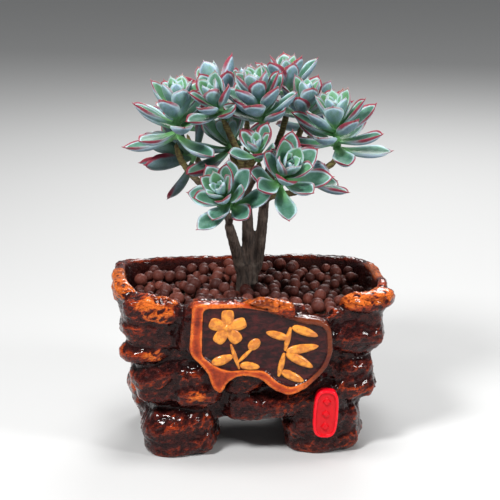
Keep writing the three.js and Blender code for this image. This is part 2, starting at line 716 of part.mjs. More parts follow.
// A sheet of faces made into a solid that reaches down to a level.
function standOn(faces, low) {
  const key = (p) => `${p.x.toFixed(3)},${p.y.toFixed(3)},${p.z.toFixed(3)}`;
  const down = (p) => vec(p.x, p.y, low);
  const edges = new Map();
  for (const [a, b, c] of faces)
    for (const [p, q] of [[a, b], [b, c], [c, a]])
      if (!edges.delete(key(q) + key(p))) edges.set(key(p) + key(q), [p, q]);
  const walls = [...edges.values()].flatMap(([p, q]) => [
    [q, p, down(p)],
    [q, down(p), down(q)],
  ]);
  const floor = faces.map(([a, b, c]) => [down(c), down(b), down(a)]);
  const points = [...faces, ...walls, ...floor].flat();
  return solid(new THREE.BufferGeometry().setFromPoints(points));
}

function granules() {
  const columns = Math.ceil(RIM_HALF_X / GRANULE_PITCH);
  const rows = Math.ceil(RIM_HALF_Y / (0.87 * GRANULE_PITCH));
  const faces = [];
  for (let j = -rows; j <= rows; j++)
    for (let i = -columns; i <= columns; i++) faces.push(...granuleFaces(i, j));
  const field = standOn(faces, MIX_TOP_Z - 5);
  const bed = field.intersect(inside(MIX_TOP_Z + GAP, 125, GAP));
  return mainBody(bed.subtract(join(stemHoles())));
}

// The whole object

const finish = (color, roughness) => new THREE.MeshStandardMaterial({ color, roughness, metalness: 0 });
const LEAF_GREEN = 0x6f9c86;

const echeveria = new THREE.Group();
echeveria.add(meshOf("pot", pot(), finish(0x4a2114, 0.3)));
echeveria.add(meshOf("drainage_mesh", drainageMesh(), finish(0x1c1d1c, 0.6)));
echeveria.add(meshOf("growing_mix", growingMix(), finish(0x2a1d16, 0.95)));
echeveria.add(meshOf("clay_granules", granules(), finish(0x5a3129, 0.85)));
const wood = join([...LIMBS, ...ROOTS, ...TWIGS].map((branch) => branchSolid(branch)));
echeveria.add(meshOf("stem", mainBody(wood), finish(0x3d2a22, 0.8)));
SETTLED.forEach((rosette) => {
  const skin = finish(rosette.skin ?? LEAF_GREEN, 0.6);
  echeveria.add(meshOf(rosette.name, rosetteSolid(rosette), skin));
});

// The origin is under the middle of the whole object's box.
const box = new THREE.Box3().setFromObject(echeveria);
const middle = box.getCenter(new THREE.Vector3());
echeveria.position.set(-middle.x, -middle.y, -box.min.z);

export default echeveria;
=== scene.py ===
"""A tree-form echeveria in a glazed rock-work pot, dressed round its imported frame."""

import math
import random

import bmesh
import bpy
import numpy as np
from bpy.props import FloatProperty, FloatVectorProperty, IntProperty, PointerProperty
from mathutils import Matrix, Vector, noise


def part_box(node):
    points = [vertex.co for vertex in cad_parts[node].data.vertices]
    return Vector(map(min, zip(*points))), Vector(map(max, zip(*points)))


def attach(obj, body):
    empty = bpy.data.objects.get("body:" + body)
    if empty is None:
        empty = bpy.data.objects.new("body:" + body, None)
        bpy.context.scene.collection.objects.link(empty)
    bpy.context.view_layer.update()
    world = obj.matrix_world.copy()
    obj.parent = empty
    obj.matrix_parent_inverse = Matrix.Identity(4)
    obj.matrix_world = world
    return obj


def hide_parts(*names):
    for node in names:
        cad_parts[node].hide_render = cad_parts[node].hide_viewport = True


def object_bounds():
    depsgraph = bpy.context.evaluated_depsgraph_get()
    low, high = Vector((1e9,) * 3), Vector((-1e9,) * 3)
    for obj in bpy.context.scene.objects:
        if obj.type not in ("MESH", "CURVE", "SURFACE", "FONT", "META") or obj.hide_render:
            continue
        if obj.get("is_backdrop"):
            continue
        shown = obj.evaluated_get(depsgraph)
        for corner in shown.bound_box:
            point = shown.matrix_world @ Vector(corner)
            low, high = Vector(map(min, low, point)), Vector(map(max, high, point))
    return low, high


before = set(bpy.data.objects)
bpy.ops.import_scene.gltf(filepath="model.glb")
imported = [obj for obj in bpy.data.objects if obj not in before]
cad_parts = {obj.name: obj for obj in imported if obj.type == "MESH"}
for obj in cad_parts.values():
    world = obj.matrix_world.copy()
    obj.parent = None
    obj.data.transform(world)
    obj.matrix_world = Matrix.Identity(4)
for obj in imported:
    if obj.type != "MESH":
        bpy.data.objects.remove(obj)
CAD_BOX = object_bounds()

bl_info = {
    "name": "Potted Tree Echeveria",
    "version": (1, 0, 0),
    "blender": (4, 5, 0),
    "location": "View3D > Sidebar > Echeveria",
    "description": "A tree-form echeveria in a glazed rock-work pot",
    "category": "Object",
}

# Places and sizes below are in millimetres, in the drawing's own frame, whose middle the growing mix
# stands on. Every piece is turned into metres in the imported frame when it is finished.
MM = 0.001
MIX_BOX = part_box("growing_mix")
DRAWING = Matrix.Translation(((MIX_BOX[0] + MIX_BOX[1]) / 2).to_2d().to_3d()) @ Matrix.Scale(MM, 4)

# Driving dimensions of the pot
RIM_HALF_X = 84
RIM_HALF_Y = 57
RIM_Z = 101
BODY_BOTTOM_Z = 22
FLOOR_Z = 30
WALL = 7
DRAIN_R = 8
CORNER_POWER = 5

# Driving dimensions of what the pot holds
MIX_TOP_Z = 84
BED_Z = 89.5
GAP = 0.3

# Driving dimensions of the plant
TRUNK = (-1, 9)
LEAF_WIDTH = 0.49
WIDEST_LEAF = 13.2
LEAF_THICKNESS = 0.11
LEAF_CUP = 0.42
KEEL = 0.7
STALK_R = 2.8
GOLDEN_ANGLE = 137.5
OPENING_POWER = 0.8
LENGTH_POWER = 2
LOWEST_LEAF = 2.4
CLEARANCE = 2.7
FOLDS = 6
FOLD = 0.12
SHORTEN = 0.05
SWING = 14


def paint(name, description, default):
    """A setting that holds a colour."""
    return FloatVectorProperty(
        name=name, description=description, subtype="COLOR", default=default, min=0, max=1,
    )


def fine_size(name, description, default, least):
    """A setting that holds a small length in metres."""
    return FloatProperty(
        name=name, description=description, default=default, min=least, unit="LENGTH", precision=5,
    )


def whole(name, description, default, least, most):
    """A setting that holds a whole number."""
    return IntProperty(name=name, description=description, default=default, min=least, max=most)


class PotSettings(bpy.types.PropertyGroup):
    """Sizes and colours of the pot."""

    grain: fine_size("Grain", "Size of the finest step in the casting's surface", 0.00125, 0.0008)
    weathering: fine_size("Weathering", "Depth of the worn layers in the rock", 0.00095, 0)
    dark_glaze: paint("Dark Glaze", "Glaze where it pools in the hollows", (0.024, 0.0045, 0.0045))
    brown_glaze: paint("Brown Glaze", "Glaze over most of the rock", (0.050, 0.011, 0.008))
    worn_glaze: paint("Worn Glaze", "Glaze where it breaks over the edges", (0.40, 0.048, 0.009))
    pale_glaze: paint("Pale Glaze", "Thinnest glaze, on the rim and the tongue", (0.66, 0.140, 0.020))
    gold: paint("Gold", "Raised ornaments of the plaque", (0.78, 0.300, 0.040))
    red: paint("Red", "Enamel of the oval tablet", (0.86, 0.004, 0.016))


class PlantSettings(bpy.types.PropertyGroup):
    """Sizes and colours of the plant."""

    rings: whole("Leaf Rings", "Rings of faces along a leaf", 28, 8, 64)
    sides: whole("Leaf Sides", "Faces round a leaf", 24, 8, 48)
    buds: whole("Bud Leaves", "Closed young leaves in each heart", 6, 0, 12)
    mucro: fine_size("Point", "Length of the red point on a leaf's tip", 0.0013, 0)
    green: paint("Green", "Skin of a grown leaf", (0.030, 0.115, 0.066))
    young_green: paint("Young Green", "Skin of inner leaves and of all leaves' roots", (0.15, 0.38, 0.09))
    # Painted shade: the dull green that the shaded lower rosettes are painted with
    shade_green: paint("Shade Green", "Skin of the shaded lower rosettes", (0.045, 0.085, 0.055))
    bloom: paint("Bloom", "Waxy powder over the skin", (0.30, 0.52, 0.46))
    crimson: paint("Crimson", "Margins and tips of the leaves", (0.17, 0.003, 0.020))
    bark: paint("Bark", "Old bark of the trunk", (0.085, 0.058, 0.045))
    young_bark: paint("Young Bark", "Skin of the branches near the rosettes", (0.20, 0.17, 0.055))


class GranuleSettings(bpy.types.PropertyGroup):
    """Sizes and colours of the clay granules."""

    smallest: fine_size("Smallest", "Diameter of the smallest granule", 0.0062, 0.002)
    largest: fine_size("Largest", "Diameter of the largest granule", 0.0087, 0.002)
    seed: IntProperty(name="Seed", description="Start of the random draw", default=7, min=0)
    clay: paint("Clay", "Fired clay of the granules", (0.14, 0.034, 0.023))
    dust: paint("Dust", "Paler clay where the granules are rubbed", (0.22, 0.075, 0.05))


class StageSettings(bpy.types.PropertyGroup):
    """The camera's place and the floor."""

    azimuth: FloatProperty(
        name="Azimuth", description="Camera's turn round the object",
        default=math.radians(-5), subtype="ANGLE",
    )
    elevation: FloatProperty(
        name="Elevation", description="Camera's height above the horizon",
        default=math.radians(14), subtype="ANGLE",
    )
    distance: FloatProperty(
        name="Distance", description="Camera's distance from the object's middle",
        default=1.2, min=0.3, unit="LENGTH",
    )
    floor: paint("Floor", "Pale floor under the object", (0.50, 0.50, 0.495))


def mix(a, b, share):
    return a + (b - a) * share


def clamp(value, low=0.0, high=1.0):
    return max(low, min(high, value))


def ease(value, low, high):
    """Rises smoothly from 0 at low to 1 at high."""
    t = clamp((value - low) / (high - low))
    return t * t * (3 - 2 * t)


def vary(seed):
    """A repeatable figure from -1 to 1 for natural variation."""
    s = math.sin(seed * 12.9898) * 43758.5453
    return 2 * (s - math.floor(s)) - 1


def along(profile, at):
    """Linear interpolation in a short list of (position, value) pairs."""
    for (p0, v0), (p1, v1) in zip(profile, profile[1:]):
        if at <= p1:
            return v0 if at <= p0 else mix(v0, v1, (at - p0) / (p1 - p0))
    return profile[-1][1]


class Shade:
    """An output in a finish's nodes, which plain arithmetic works on."""

    def __init__(self, finish, socket):
        self.finish = finish
        self.socket = socket

    def maths(self, operation, a, b, clamped=False):
        settings = {"operation": operation, "use_clamp": clamped}
        return self.finish.node("ShaderNodeMath", settings, {0: a, 1: b})

    def __add__(self, other):
        return self.maths("ADD", self, other)

    def __radd__(self, other):
        return self.maths("ADD", other, self)

    def __sub__(self, other):
        return self.maths("SUBTRACT", self, other)

    def __rsub__(self, other):
        return self.maths("SUBTRACT", other, self)

    def __mul__(self, other):
        return self.maths("MULTIPLY", self, other)

    def __rmul__(self, other):
        return self.maths("MULTIPLY", other, self)

    def __truediv__(self, other):
        return self.maths("DIVIDE", self, other)

    def clamped(self):
        return self.maths("ADD", self, 0.0, clamped=True)

    def larger(self, other):
        return self.maths("MAXIMUM", self, other)

    def folded(self):
        """A sharp crest where a noise crosses its middle."""
        return 1 - 2 * self.maths("ABSOLUTE", 2 * self - 1, 0.0)


class Finish:
    """A procedural material. What is the same all over is set on the shader's own sockets."""

    def __init__(self, name, **constants):
        self.material = bpy.data.materials.new(name)
        self.material.use_nodes = True
        self.tree = self.material.node_tree
        self.shader = self.tree.nodes["Principled BSDF"]
        for socket, value in constants.items():
            self.shader.inputs[socket.replace("_", " ")].default_value = value
        self.object_place = self.node("ShaderNodeTexCoord", output="Object")

    def node(self, kind, settings=None, inputs=None, output=0):
        """Adds a node: its settings, then the values or links of its sockets. Gives one output."""
        made = self.tree.nodes.new(kind)
        for key, value in (settings or {}).items():
            setattr(made, key, value)
        for key, value in (inputs or {}).items():
            if isinstance(value, Shade):
                self.tree.links.new(value.socket, made.inputs[key])
            else:
                made.inputs[key].default_value = value
        return Shade(self, made.outputs[output])

    def place(self, size):
        """Object coordinates in steps of a size in millimetres, one for all axes or one for each."""
        sizes = size if isinstance(size, tuple) else (size, size, size)
        scale = tuple(1 / (s * MM) for s in sizes)
        return self.node("ShaderNodeMapping", None, {"Vector": self.object_place, "Scale": scale})

    def noise(self, size, detail=3.0, roughness=0.5, distortion=0.0):
        inputs = {"Vector": self.place(size), "Scale": 1.0, "Detail": detail}
        inputs |= {"Roughness": roughness, "Distortion": distortion}
        return self.node("ShaderNodeTexNoise", None, inputs)

    def cells(self, size):
        return self.node("ShaderNodeTexVoronoi", None, {"Vector": self.place(size), "Scale": 1.0})

    def attribute(self, name):
        return self.node("ShaderNodeAttribute", {"attribute_name": name}, output="Fac")

    def ease(self, value, low, high):
        """Rises smoothly from 0 at low to 1 at high, or falls where high is the lower one."""
        inputs = {"Value": value, "From Min": low, "From Max": high}
        return self.node("ShaderNodeMapRange", {"interpolation_type": "SMOOTHSTEP"}, inputs)

    def blend(self, factor, a, b):
        """One colour over another by a factor. A colour is three figures or an output."""
        a, b = (c if isinstance(c, Shade) else (*c, 1.0) for c in (a, b))
        return self.node("ShaderNodeMix", {"data_type": "RGBA"}, {0: factor, 6: a, 7: b}, output=2)

    def relief(self, *layers):
        """Relief in layers, each over the one before: (height from 0 to 1, depth in millimetres)."""
        made = None
        for height, depth in layers:
            inputs = {"Height": height, "Strength": 1.0, "Distance": depth * MM}
            if made:
                inputs["Normal"] = made
            made = self.node("ShaderNodeBump", None, inputs)
        return made

    def done(self, **links):
        """Links outputs to the shader and gives the material."""
        for socket, value in links.items():
            self.tree.links.new(value.socket, self.shader.inputs[socket.replace("_", " ")])
        return self.material


def round_form(bm, sides, rings, place):
    """Adds a closed round form: a sphere whose points go where place(t, around) puts them, with t from 0
    at its first pole to 1 at its last and around as an angle round it. Gives its vertices."""
    made = bmesh.ops.create_uvsphere(bm, u_segments=sides, v_segments=rings, radius=1)["verts"]
    for vert in made:
        t = math.acos(clamp(-vert.co.z, -1, 1)) / math.pi
        vert.co = place(t, math.atan2(vert.co.y, vert.co.x))
    return made


def mesh_of(name, bm):
    """A new mesh of a bmesh, which is freed."""
    mesh = bpy.data.meshes.new(name)
    bm.to_mesh(mesh)
    bm.free()
    return mesh


def linked(name, data):
    """A new object in the scene."""
    made = bpy.data.objects.new(name, data)
    bpy.context.collection.objects.link(made)
    return made


def packed(name, bm):
    """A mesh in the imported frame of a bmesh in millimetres, which is freed."""
    bmesh.ops.recalc_face_normals(bm, faces=bm.faces)
    bmesh.ops.transform(bm, matrix=DRAWING, verts=bm.verts)
    return mesh_of(name, bm)


def shell(name, build):
    """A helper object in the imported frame, whose mesh a function builds in millimetres."""
    bm = bmesh.new()
    build(bm)
    return linked(name, packed(name, bm))


def add_modifier(target, kind, **settings):
    made = target.modifiers.new(kind.title(), kind)
    for key, value in settings.items():
        setattr(made, key, value)


def cut(target, helper):
    add_modifier(target, "BOOLEAN", object=helper, operation="DIFFERENCE", solver="MANIFOLD")


def remesh(target, grain, rounds):
    """Fuses an object's mesh with a grain in metres, and softens it over a number of rounds."""
    add_modifier(target, "REMESH", mode="VOXEL", voxel_size=grain)
    if rounds:
        add_modifier(target, "SMOOTH", factor=0.5, iterations=rounds)


def applied(target, *helpers):
    """A bmesh in millimetres of an object with its modifiers applied. It and its helpers are removed."""
    graph = bpy.context.evaluated_depsgraph_get()
    mesh = bpy.data.meshes.new_from_object(target.evaluated_get(graph))
    bm = bmesh.new()
    bm.from_mesh(mesh)
    bmesh.ops.transform(bm, matrix=DRAWING.inverted(), verts=bm.verts)
    bpy.data.meshes.remove(mesh)
    for used in (target, *helpers):
        bpy.data.objects.remove(used)
    return bm


def finish_piece(name, bm, material, node):
    """Makes a bmesh in millimetres a finished piece of the object, which stands for a node."""
    for face in bm.faces:
        face.smooth = True
    mesh = packed(name, bm)
    mesh.materials.append(material)
    piece = linked(name, mesh)
    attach(piece, "root")
    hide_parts(node)


# Pot: half the width and half the depth of the outside at each height, and of the plain inside
OUTSIDE = (
    ((22, 68), (34, 70), (52, 71), (66, 75), (84, 81), (98, RIM_HALF_X), (112, RIM_HALF_X)),
    ((22, 45), (34, 47), (52, 49), (66, 51), (84, 54), (98, RIM_HALF_Y), (112, RIM_HALF_Y)),
)
INSIDE = (
    ((FLOOR_Z, 60), (RIM_Z, RIM_HALF_X - WALL), (125, RIM_HALF_X - WALL + 5)),
    ((FLOOR_Z, 38), (RIM_Z, RIM_HALF_Y - WALL), (125, RIM_HALF_Y - WALL + 3)),
)
# The broken rim's height round the pot, from its right side at 0 to its front at 0.75
RIM = (
    (0, 103), (0.06, 100), (0.14, 100.5), (0.25, 101.5), (0.36, 101.5), (0.44, 104),
    (0.5, 106.5), (0.56, 103), (0.62, 101), (0.68, 97), (0.75, 98), (0.81, 92), (0.87, 92),
    (0.92, 101), (0.97, 105), (1, 103),
)
# Feet and boulders in the casting: (centre, half sizes)
FEET = (
    ((-46, -29, 14), (24, 23, 19)),
    ((42, -29, 14), (25, 23, 19)),
    ((-48, 28, 14), (24, 21, 19)),
    ((45, 28, 14), (24, 21, 19)),
)
BOULDERS = (
    ((-62, -47, 95), (20, 12, 8)),
    ((-63, -43, 81), (18, 13, 11)),
    ((-67, -41, 66), (15, 13, 7)),
    ((-58, -38, 50), (18, 15, 16)),
    ((-36, -44, 44), (15, 12, 14)),
    ((67, -44, 98), (19, 14, 6)),
    ((60, -42, 79), (19, 14, 17)),
    ((57, -38, 45), (17, 15, 15)),
    ((38, -42, 31), (18, 12, 20)),
    ((-8, -48, 49), (14, 8, 8)),
    ((6, -44, 31), (28, 10, 9)),
    ((-79, -18, 101), (8, 26, 7)),
    ((-72, 16, 72), (9, 20, 14)),
    ((-67, -6, 38), (10, 20, 17)),
    ((77, 6, 90), (7, 26, 12)),
    ((68, 18, 48), (8, 20, 15)),
    ((-46, 45, 80), (22, 9, 15)),
    ((4, 45, 58), (24, 8, 17)),
    ((50, 44, 76), (20, 9, 16)),
    ((-42, 40, 40), (18, 10, 14)),
)
# What is hollowed out of the rock: a knot in the front left of the rim, and a dip in its front right
KNOT = ((-56, -60, 103), (9, 6, 4.5))
DIP = ((36, -57, 104), (10.5, 14, 15))


def plan_point(plan, turn, z, inset):
    """The pot's plan at a height, as a point at a turn from 0 to 1, moved in by an inset."""
    c, s = math.cos(turn * math.tau), math.sin(turn * math.tau)
    power = 2 / CORNER_POWER
    x = (along(plan[0], z) - inset) * math.copysign(abs(c) ** power, c)
    y = (along(plan[1], z) - inset) * math.copysign(abs(s) ** power, s)
    return Vector((x, y, z))


def fill(plan, point):
    """How far out a point lies in the pot's plan at its height, where 1 is the wall."""
    x = abs(point.x) / along(plan[0], point.z)
    y = abs(point.y) / along(plan[1], point.z)
    return (x**CORNER_POWER + y**CORNER_POWER) ** (1 / CORNER_POWER)


def rock_relief(p):
    """Relief in the rock at a point: worn layers with cracks across them."""
    layers = math.sin(p.z * 0.36 + 1.5 * math.sin(p.x * 0.07 + 0.5) + 0.9 * math.sin(p.y * 0.09))
    cracks = math.sin(p.x * 0.21 + 0.4 * math.sin(p.z * 0.2)) * math.sin(p.y * 0.23 + p.z * 0.08)
    grain = math.sin(p.x * 0.55 + p.z * 0.31) * math.sin(p.z * 0.6 - p.y * 0.43)
    return 0.9 * layers + 0.7 * cracks + 0.4 * grain


def stacked_plan(bm, plan, heights, relief=False):
    """Adds a closed shape from rows of the plan. heights(turn) gives a list of (height, inset)."""
    rows = len(heights(0)) + 1
    columns = 144

    def place(t, around):
        turn = (around / math.tau) % 1
        listed = heights(turn)
        row = t * rows
        if row < 0.5:
            return Vector((0, 0, listed[0][0]))
        if row > rows - 0.5:
            return Vector((0, 0, sum(heights(k / 8)[-1][0] for k in range(8)) / 8))
        z, inset = listed[round(row) - 1]
        p = plan_point(plan, turn, z, inset)
        if relief:
            share = 0.5 if p.z > 88 else 1
            p += Vector((p.x, p.y, 0)).normalized() * share * rock_relief(p)
        return p

    round_form(bm, columns, rows, place)


def body_heights(turn):
    """The rows of the pot's outside at a turn, from its bottom up over the rim."""
    rim = along(RIM, turn)
    steps = 24
    wall = [(mix(36, rim - 3, k / steps), 0) for k in range(steps + 1)]
    return [(BODY_BOTTOM_Z, 4), (29, 1.2), *wall, (rim - 1, 1), (rim, 3), (rim, 12)]


def boulder(bm, lump):
    """Adds a boulder, part round and part square, roughened by the rock's relief."""
    centre, half = lump

    def place(t, around):
        height, ring = -math.cos(math.pi * t), math.sin(math.pi * t)
        p = Vector((ring * math.cos(around), ring * math.sin(around), height))
        full = p * mix(1, 1 / max(map(abs, p)), 0.3)
        placed = Vector(full[k] * half[k] + centre[k] for k in range(3))
        placed += p * 1.4 * rock_relief(placed)
        placed.z = max(0, placed.z)
        return placed

    round_form(bm, 36, 24, place)


# Shaped things on the front stand on a plane that leans with the wall: across, up it and out
FRONT = Matrix.Translation((0, -58.5, 73)) @ Matrix.Rotation(math.radians(95), 4, "X")
# The plaque is two joined blank stones. Its outline, as (across, up).
PLAQUE = (
    (-40, 29.5), (-7, 29), (8, 25), (23, 20), (38, 17.5), (43.5, 12), (44.5, -4), (40, -15),
    (29, -26), (19, -31), (9, -27), (1, -19), (-10, -16.5), (-18, -19.5), (-23, -29),
    (-28, -24.5), (-31, -14), (-42, -2),
)
PLAQUE_DEPTH = 6
PLAQUE_RECESS = 1
# The sunk field inside its border, which is wide on the left and in the lower points
FIELD = (
    (-33.6, 26.6), (-9.9, 26.6), (2.2, 24.6), (19.3, 18.6), (28, 15.6), (37, 14.2), (40.6, 9.8),
    (41.2, -4), (37.6, -12.4), (29.4, -20.9), (19.3, -25.4), (10.6, -20.9), (4, -13.6),
    (-9.9, -12.6), (-17.5, -13.4), (-25.5, -10.6), (-34.4, -3.4),
)
# A strip of bevelled rock beside its left edge, and a pointed tongue of broken rock over its upper edge
FLANK = ((-40, 27), (-44, 23), (-49, -2), (-40, -3))
TONGUE = ((-9, 30.5), (4, 33), (20, 29), (22, 21), (16, 20), (4, 26))
# The raised oval tablet on the right foot
TABLET = (41.5, -45)
TABLET_HALF = (7.6, 15.6)
TABLET_TILT = math.radians(-3)
LOZENGES = (-8.2, 0, 8.2)


def rounded(points, radius, steps=5):
    """A closed outline with each corner replaced by a curve that starts a radius before it."""
    made = []
    for k, corner in enumerate(points):
        here = Vector(corner)
        before, after = Vector(points[k - 1]) - here, Vector(points[(k + 1) % len(points)]) - here
        start = here + before.normalized() * min(radius, before.length * 0.45)
        end = here + after.normalized() * min(radius, after.length * 0.45)
        for step in range(steps + 1):
            t = step / steps
            made.append((1 - t) ** 2 * start + 2 * t * (1 - t) * here + t * t * end)
    return made


def round_edges(bm, edges, offset, segments):
    bmesh.ops.bevel(
        bm, geom=list(edges), offset=offset, offset_type="OFFSET", segments=segments,
        profile=0.5, affect="EDGES", material=-1,
    )


def slab(bm, outline, low, high, bevel=0.0, segments=2):
    """Adds a slab over an outline between two levels on the front plane, with its outer edge rounded."""
    face = bm.faces.new([bm.verts.new((p[0], p[1], low)) for p in outline])
    made = bmesh.ops.extrude_face_region(bm, geom=[face], use_keep_orig=True)["geom"]
    top = [g for g in made if isinstance(g, bmesh.types.BMVert)]
    bmesh.ops.translate(bm, verts=top, vec=(0, 0, high - low))
    if bevel:
        outer = next(g for g in made if isinstance(g, bmesh.types.BMFace))
        round_edges(bm, outer.edges, bevel, segments)


def placed_slab(bm, outline, low, high, bevel=0.0):
    """Adds a slab to a bmesh of the pot, placed on the front plane."""
    part = bmesh.new()
    slab(part, outline, low, high, bevel, 3)
    bmesh.ops.recalc_face_normals(part, faces=part.faces)
    bmesh.ops.transform(part, matrix=FRONT, verts=part.verts)
    mesh = mesh_of("part", part)
    bm.from_mesh(mesh)
    bpy.data.meshes.remove(mesh)


def rock_shells(bm):
    """Adds every lump that the casting is made of."""
    stacked_plan(bm, OUTSIDE, body_heights, relief=True)
    for lump in FEET + BOULDERS:
        boulder(bm, lump)
    placed_slab(bm, rounded(PLAQUE, 2), -8, PLAQUE_DEPTH - 2.4)
    placed_slab(bm, rounded(FLANK, 1.5), -8, 2, 1.2)
    placed_slab(bm, rounded(TONGUE, 1.5), 1, 9, 1.8)
    placed_slab(bm, rounded(tablet_outline(1), 0.1, 1), -9, 1.4)


def cavity(bm):
    """Adds the plain inside of the pot."""
    heights = [(FLOOR_Z, 6), (FLOOR_Z, 1.5), (FLOOR_Z + 1.5, 0), (60, 0), (RIM_Z, 0), (125, 0)]
    stacked_plan(bm, INSIDE, lambda turn: heights)


def drain(bm):
    bmesh.ops.create_cone(
        bm, cap_ends=True, segments=32, radius1=DRAIN_R, radius2=DRAIN_R, depth=40,
        matrix=Matrix.Translation((0, 0, FLOOR_Z)),
    )


def neighbour_means(values, pairs, count):
    """The mean of each point's neighbours, for values in rows."""
    total = np.zeros_like(values)
    for a, b in ((0, 1), (1, 0)):
        for axis in range(values.shape[1]):
            total[:, axis] += np.bincount(pairs[:, a], values[pairs[:, b], axis], len(values))
    return total / count[:, None]


def ridges(bm, rounds):
    """How far each vertex stands proud of the surface smoothed over a number of rounds, in millimetres."""
    bm.verts.ensure_lookup_table()
    bm.verts.index_update()
    places = np.array([v.co for v in bm.verts])
    normals = np.array([v.normal for v in bm.verts])
    pairs = np.array([[v.index for v in e.verts] for e in bm.edges])
    count = np.bincount(pairs.ravel(), minlength=len(places))
    smoothed = places
    for _ in range(rounds):
        smoothed = neighbour_means(smoothed, pairs, count)
    return ((places - smoothed) * normals).sum(1)


# Rounds of softening that fuse the boulders
ROCK_SOFTENING = 9
# The twist of the worn layers is drawn from this seed. They stop a little out of the plain inside, and
# fade towards the ground between these heights.
WEATHER_SEED = 4
INSIDE_MARGIN = 1.015
GROUND_FADE = (0.6, 4)


def weather(point):
    """Crumpled worn layers and small pits in the rock, from about -1 to 1."""
    twist = noise.noise_vector(point / 17) * 5
    layered = Vector((point.x / 12, point.y / 12, point.z / 5.5)) + twist / 9
    worn = noise.ridged_multi_fractal(layered, 0.8, 2.2, 5, 1.0, 2.0) - 1.2
    folds = 0.6 - abs(noise.noise((point + twist) / 4.2)) * 2.6
    pits = noise.fractal(point / 2.4, 0.6, 2.0, 3)
    return clamp(0.55 * worn + 0.4 * folds + 0.3 * pits, -1.3, 1.2)


def near(point, centre, half):
    """1 at a centre, falling smoothly to 0 at the half sizes round it."""
    away = math.sqrt(sum(((point[k] - centre[k]) / half[k]) ** 2 for k in range(3)))
    return 1 - ease(away, 0.55, 1)


# Where the glaze is rubbed thin and shows orange: (centre, half sizes, strength)
RUBBED = (
    ((-80, -20, 103), (16, 34, 12), 1.0),
    ((-56, -58, 98), (24, 12, 14), 0.75),
    ((6, -62, 101), (24, 12, 8), 1.0),
    ((62, -50, 101), (30, 16, 10), 0.8),
    ((-58, -52, 67), (16, 12, 5), 0.7),
    ((-37, -56, 40), (8, 10, 6), 0.6),
    ((80, 8, 103), (12, 34, 9), 0.6),
    ((0, 60, 105), (84, 14, 6), 0.45),
    ((-82, -26, 66), (14, 34, 24), 0.4),
    ((-78, -32, 34), (14, 28, 14), 0.4),
)
# The dark strip beside the plaque, where the glaze pools
POOLED = ((-45, -58, 84), (9, 14, 22))


def rubbed(point):
    """How thin the glaze lies at a point, below 0 where it pools."""
    thinnest = max(near(point, centre, half) * strength for centre, half, strength in RUBBED)
    return thinnest - near(point, *POOLED)


class ECHEVERIA_OT_pot(bpy.types.Operator):
    """Casts the rock-work pot: boulders fused with the wall, hollowed, weathered and glazed"""

    bl_idname = "echeveria.pot"
    bl_label = "Cast Pot"

    def execute(self, context):
        settings = context.scene.echeveria_pot
        rock = shell("rock", rock_shells)
        cuts = [shell("cavity", cavity), shell("drain", drain)]
        cuts += [shell("knot", lambda bm: boulder(bm, KNOT)), shell("dip", lambda bm: boulder(bm, DIP))]
        remesh(rock, settings.grain, 0)
        for helper in cuts:
            cut(rock, helper)
        remesh(rock, settings.grain, ROCK_SOFTENING)
        bm = applied(rock, *cuts)
        if not bm.verts:
            raise RuntimeError("the pot's boulders didn't fuse")
        self.wear_down(bm, settings.weathering / MM)
        finish_piece("pot_rock", bm, glaze(settings), "pot")
        return {"FINISHED"}

    def wear_down(self, bm, depth):
        """Cuts the worn relief into the outside, and marks where the glaze pools and breaks."""
        bm.normal_update()
        noise.seed_set(WEATHER_SEED)
        for vert in bm.verts:
            inner = fill(INSIDE, vert.co) < INSIDE_MARGIN and vert.co.z > FLOOR_Z - 1
            if not inner and vert.co.z > GROUND_FADE[0]:
                vert.co += vert.normal * depth * weather(vert.co) * ease(vert.co.z, *GROUND_FADE)
            vert.co.z = max(0, vert.co.z)
        bm.normal_update()
        fine, broad = ridges(bm, 3), ridges(bm, 14)
        edge = bm.verts.layers.float.new("edge")
        thin = bm.verts.layers.float.new("thin")
        for vert, small, large in zip(bm.verts, fine, broad):
            vert[edge] = clamp(0.5 + 1.6 * small + 0.42 * large)
            vert[thin] = rubbed(vert.co)


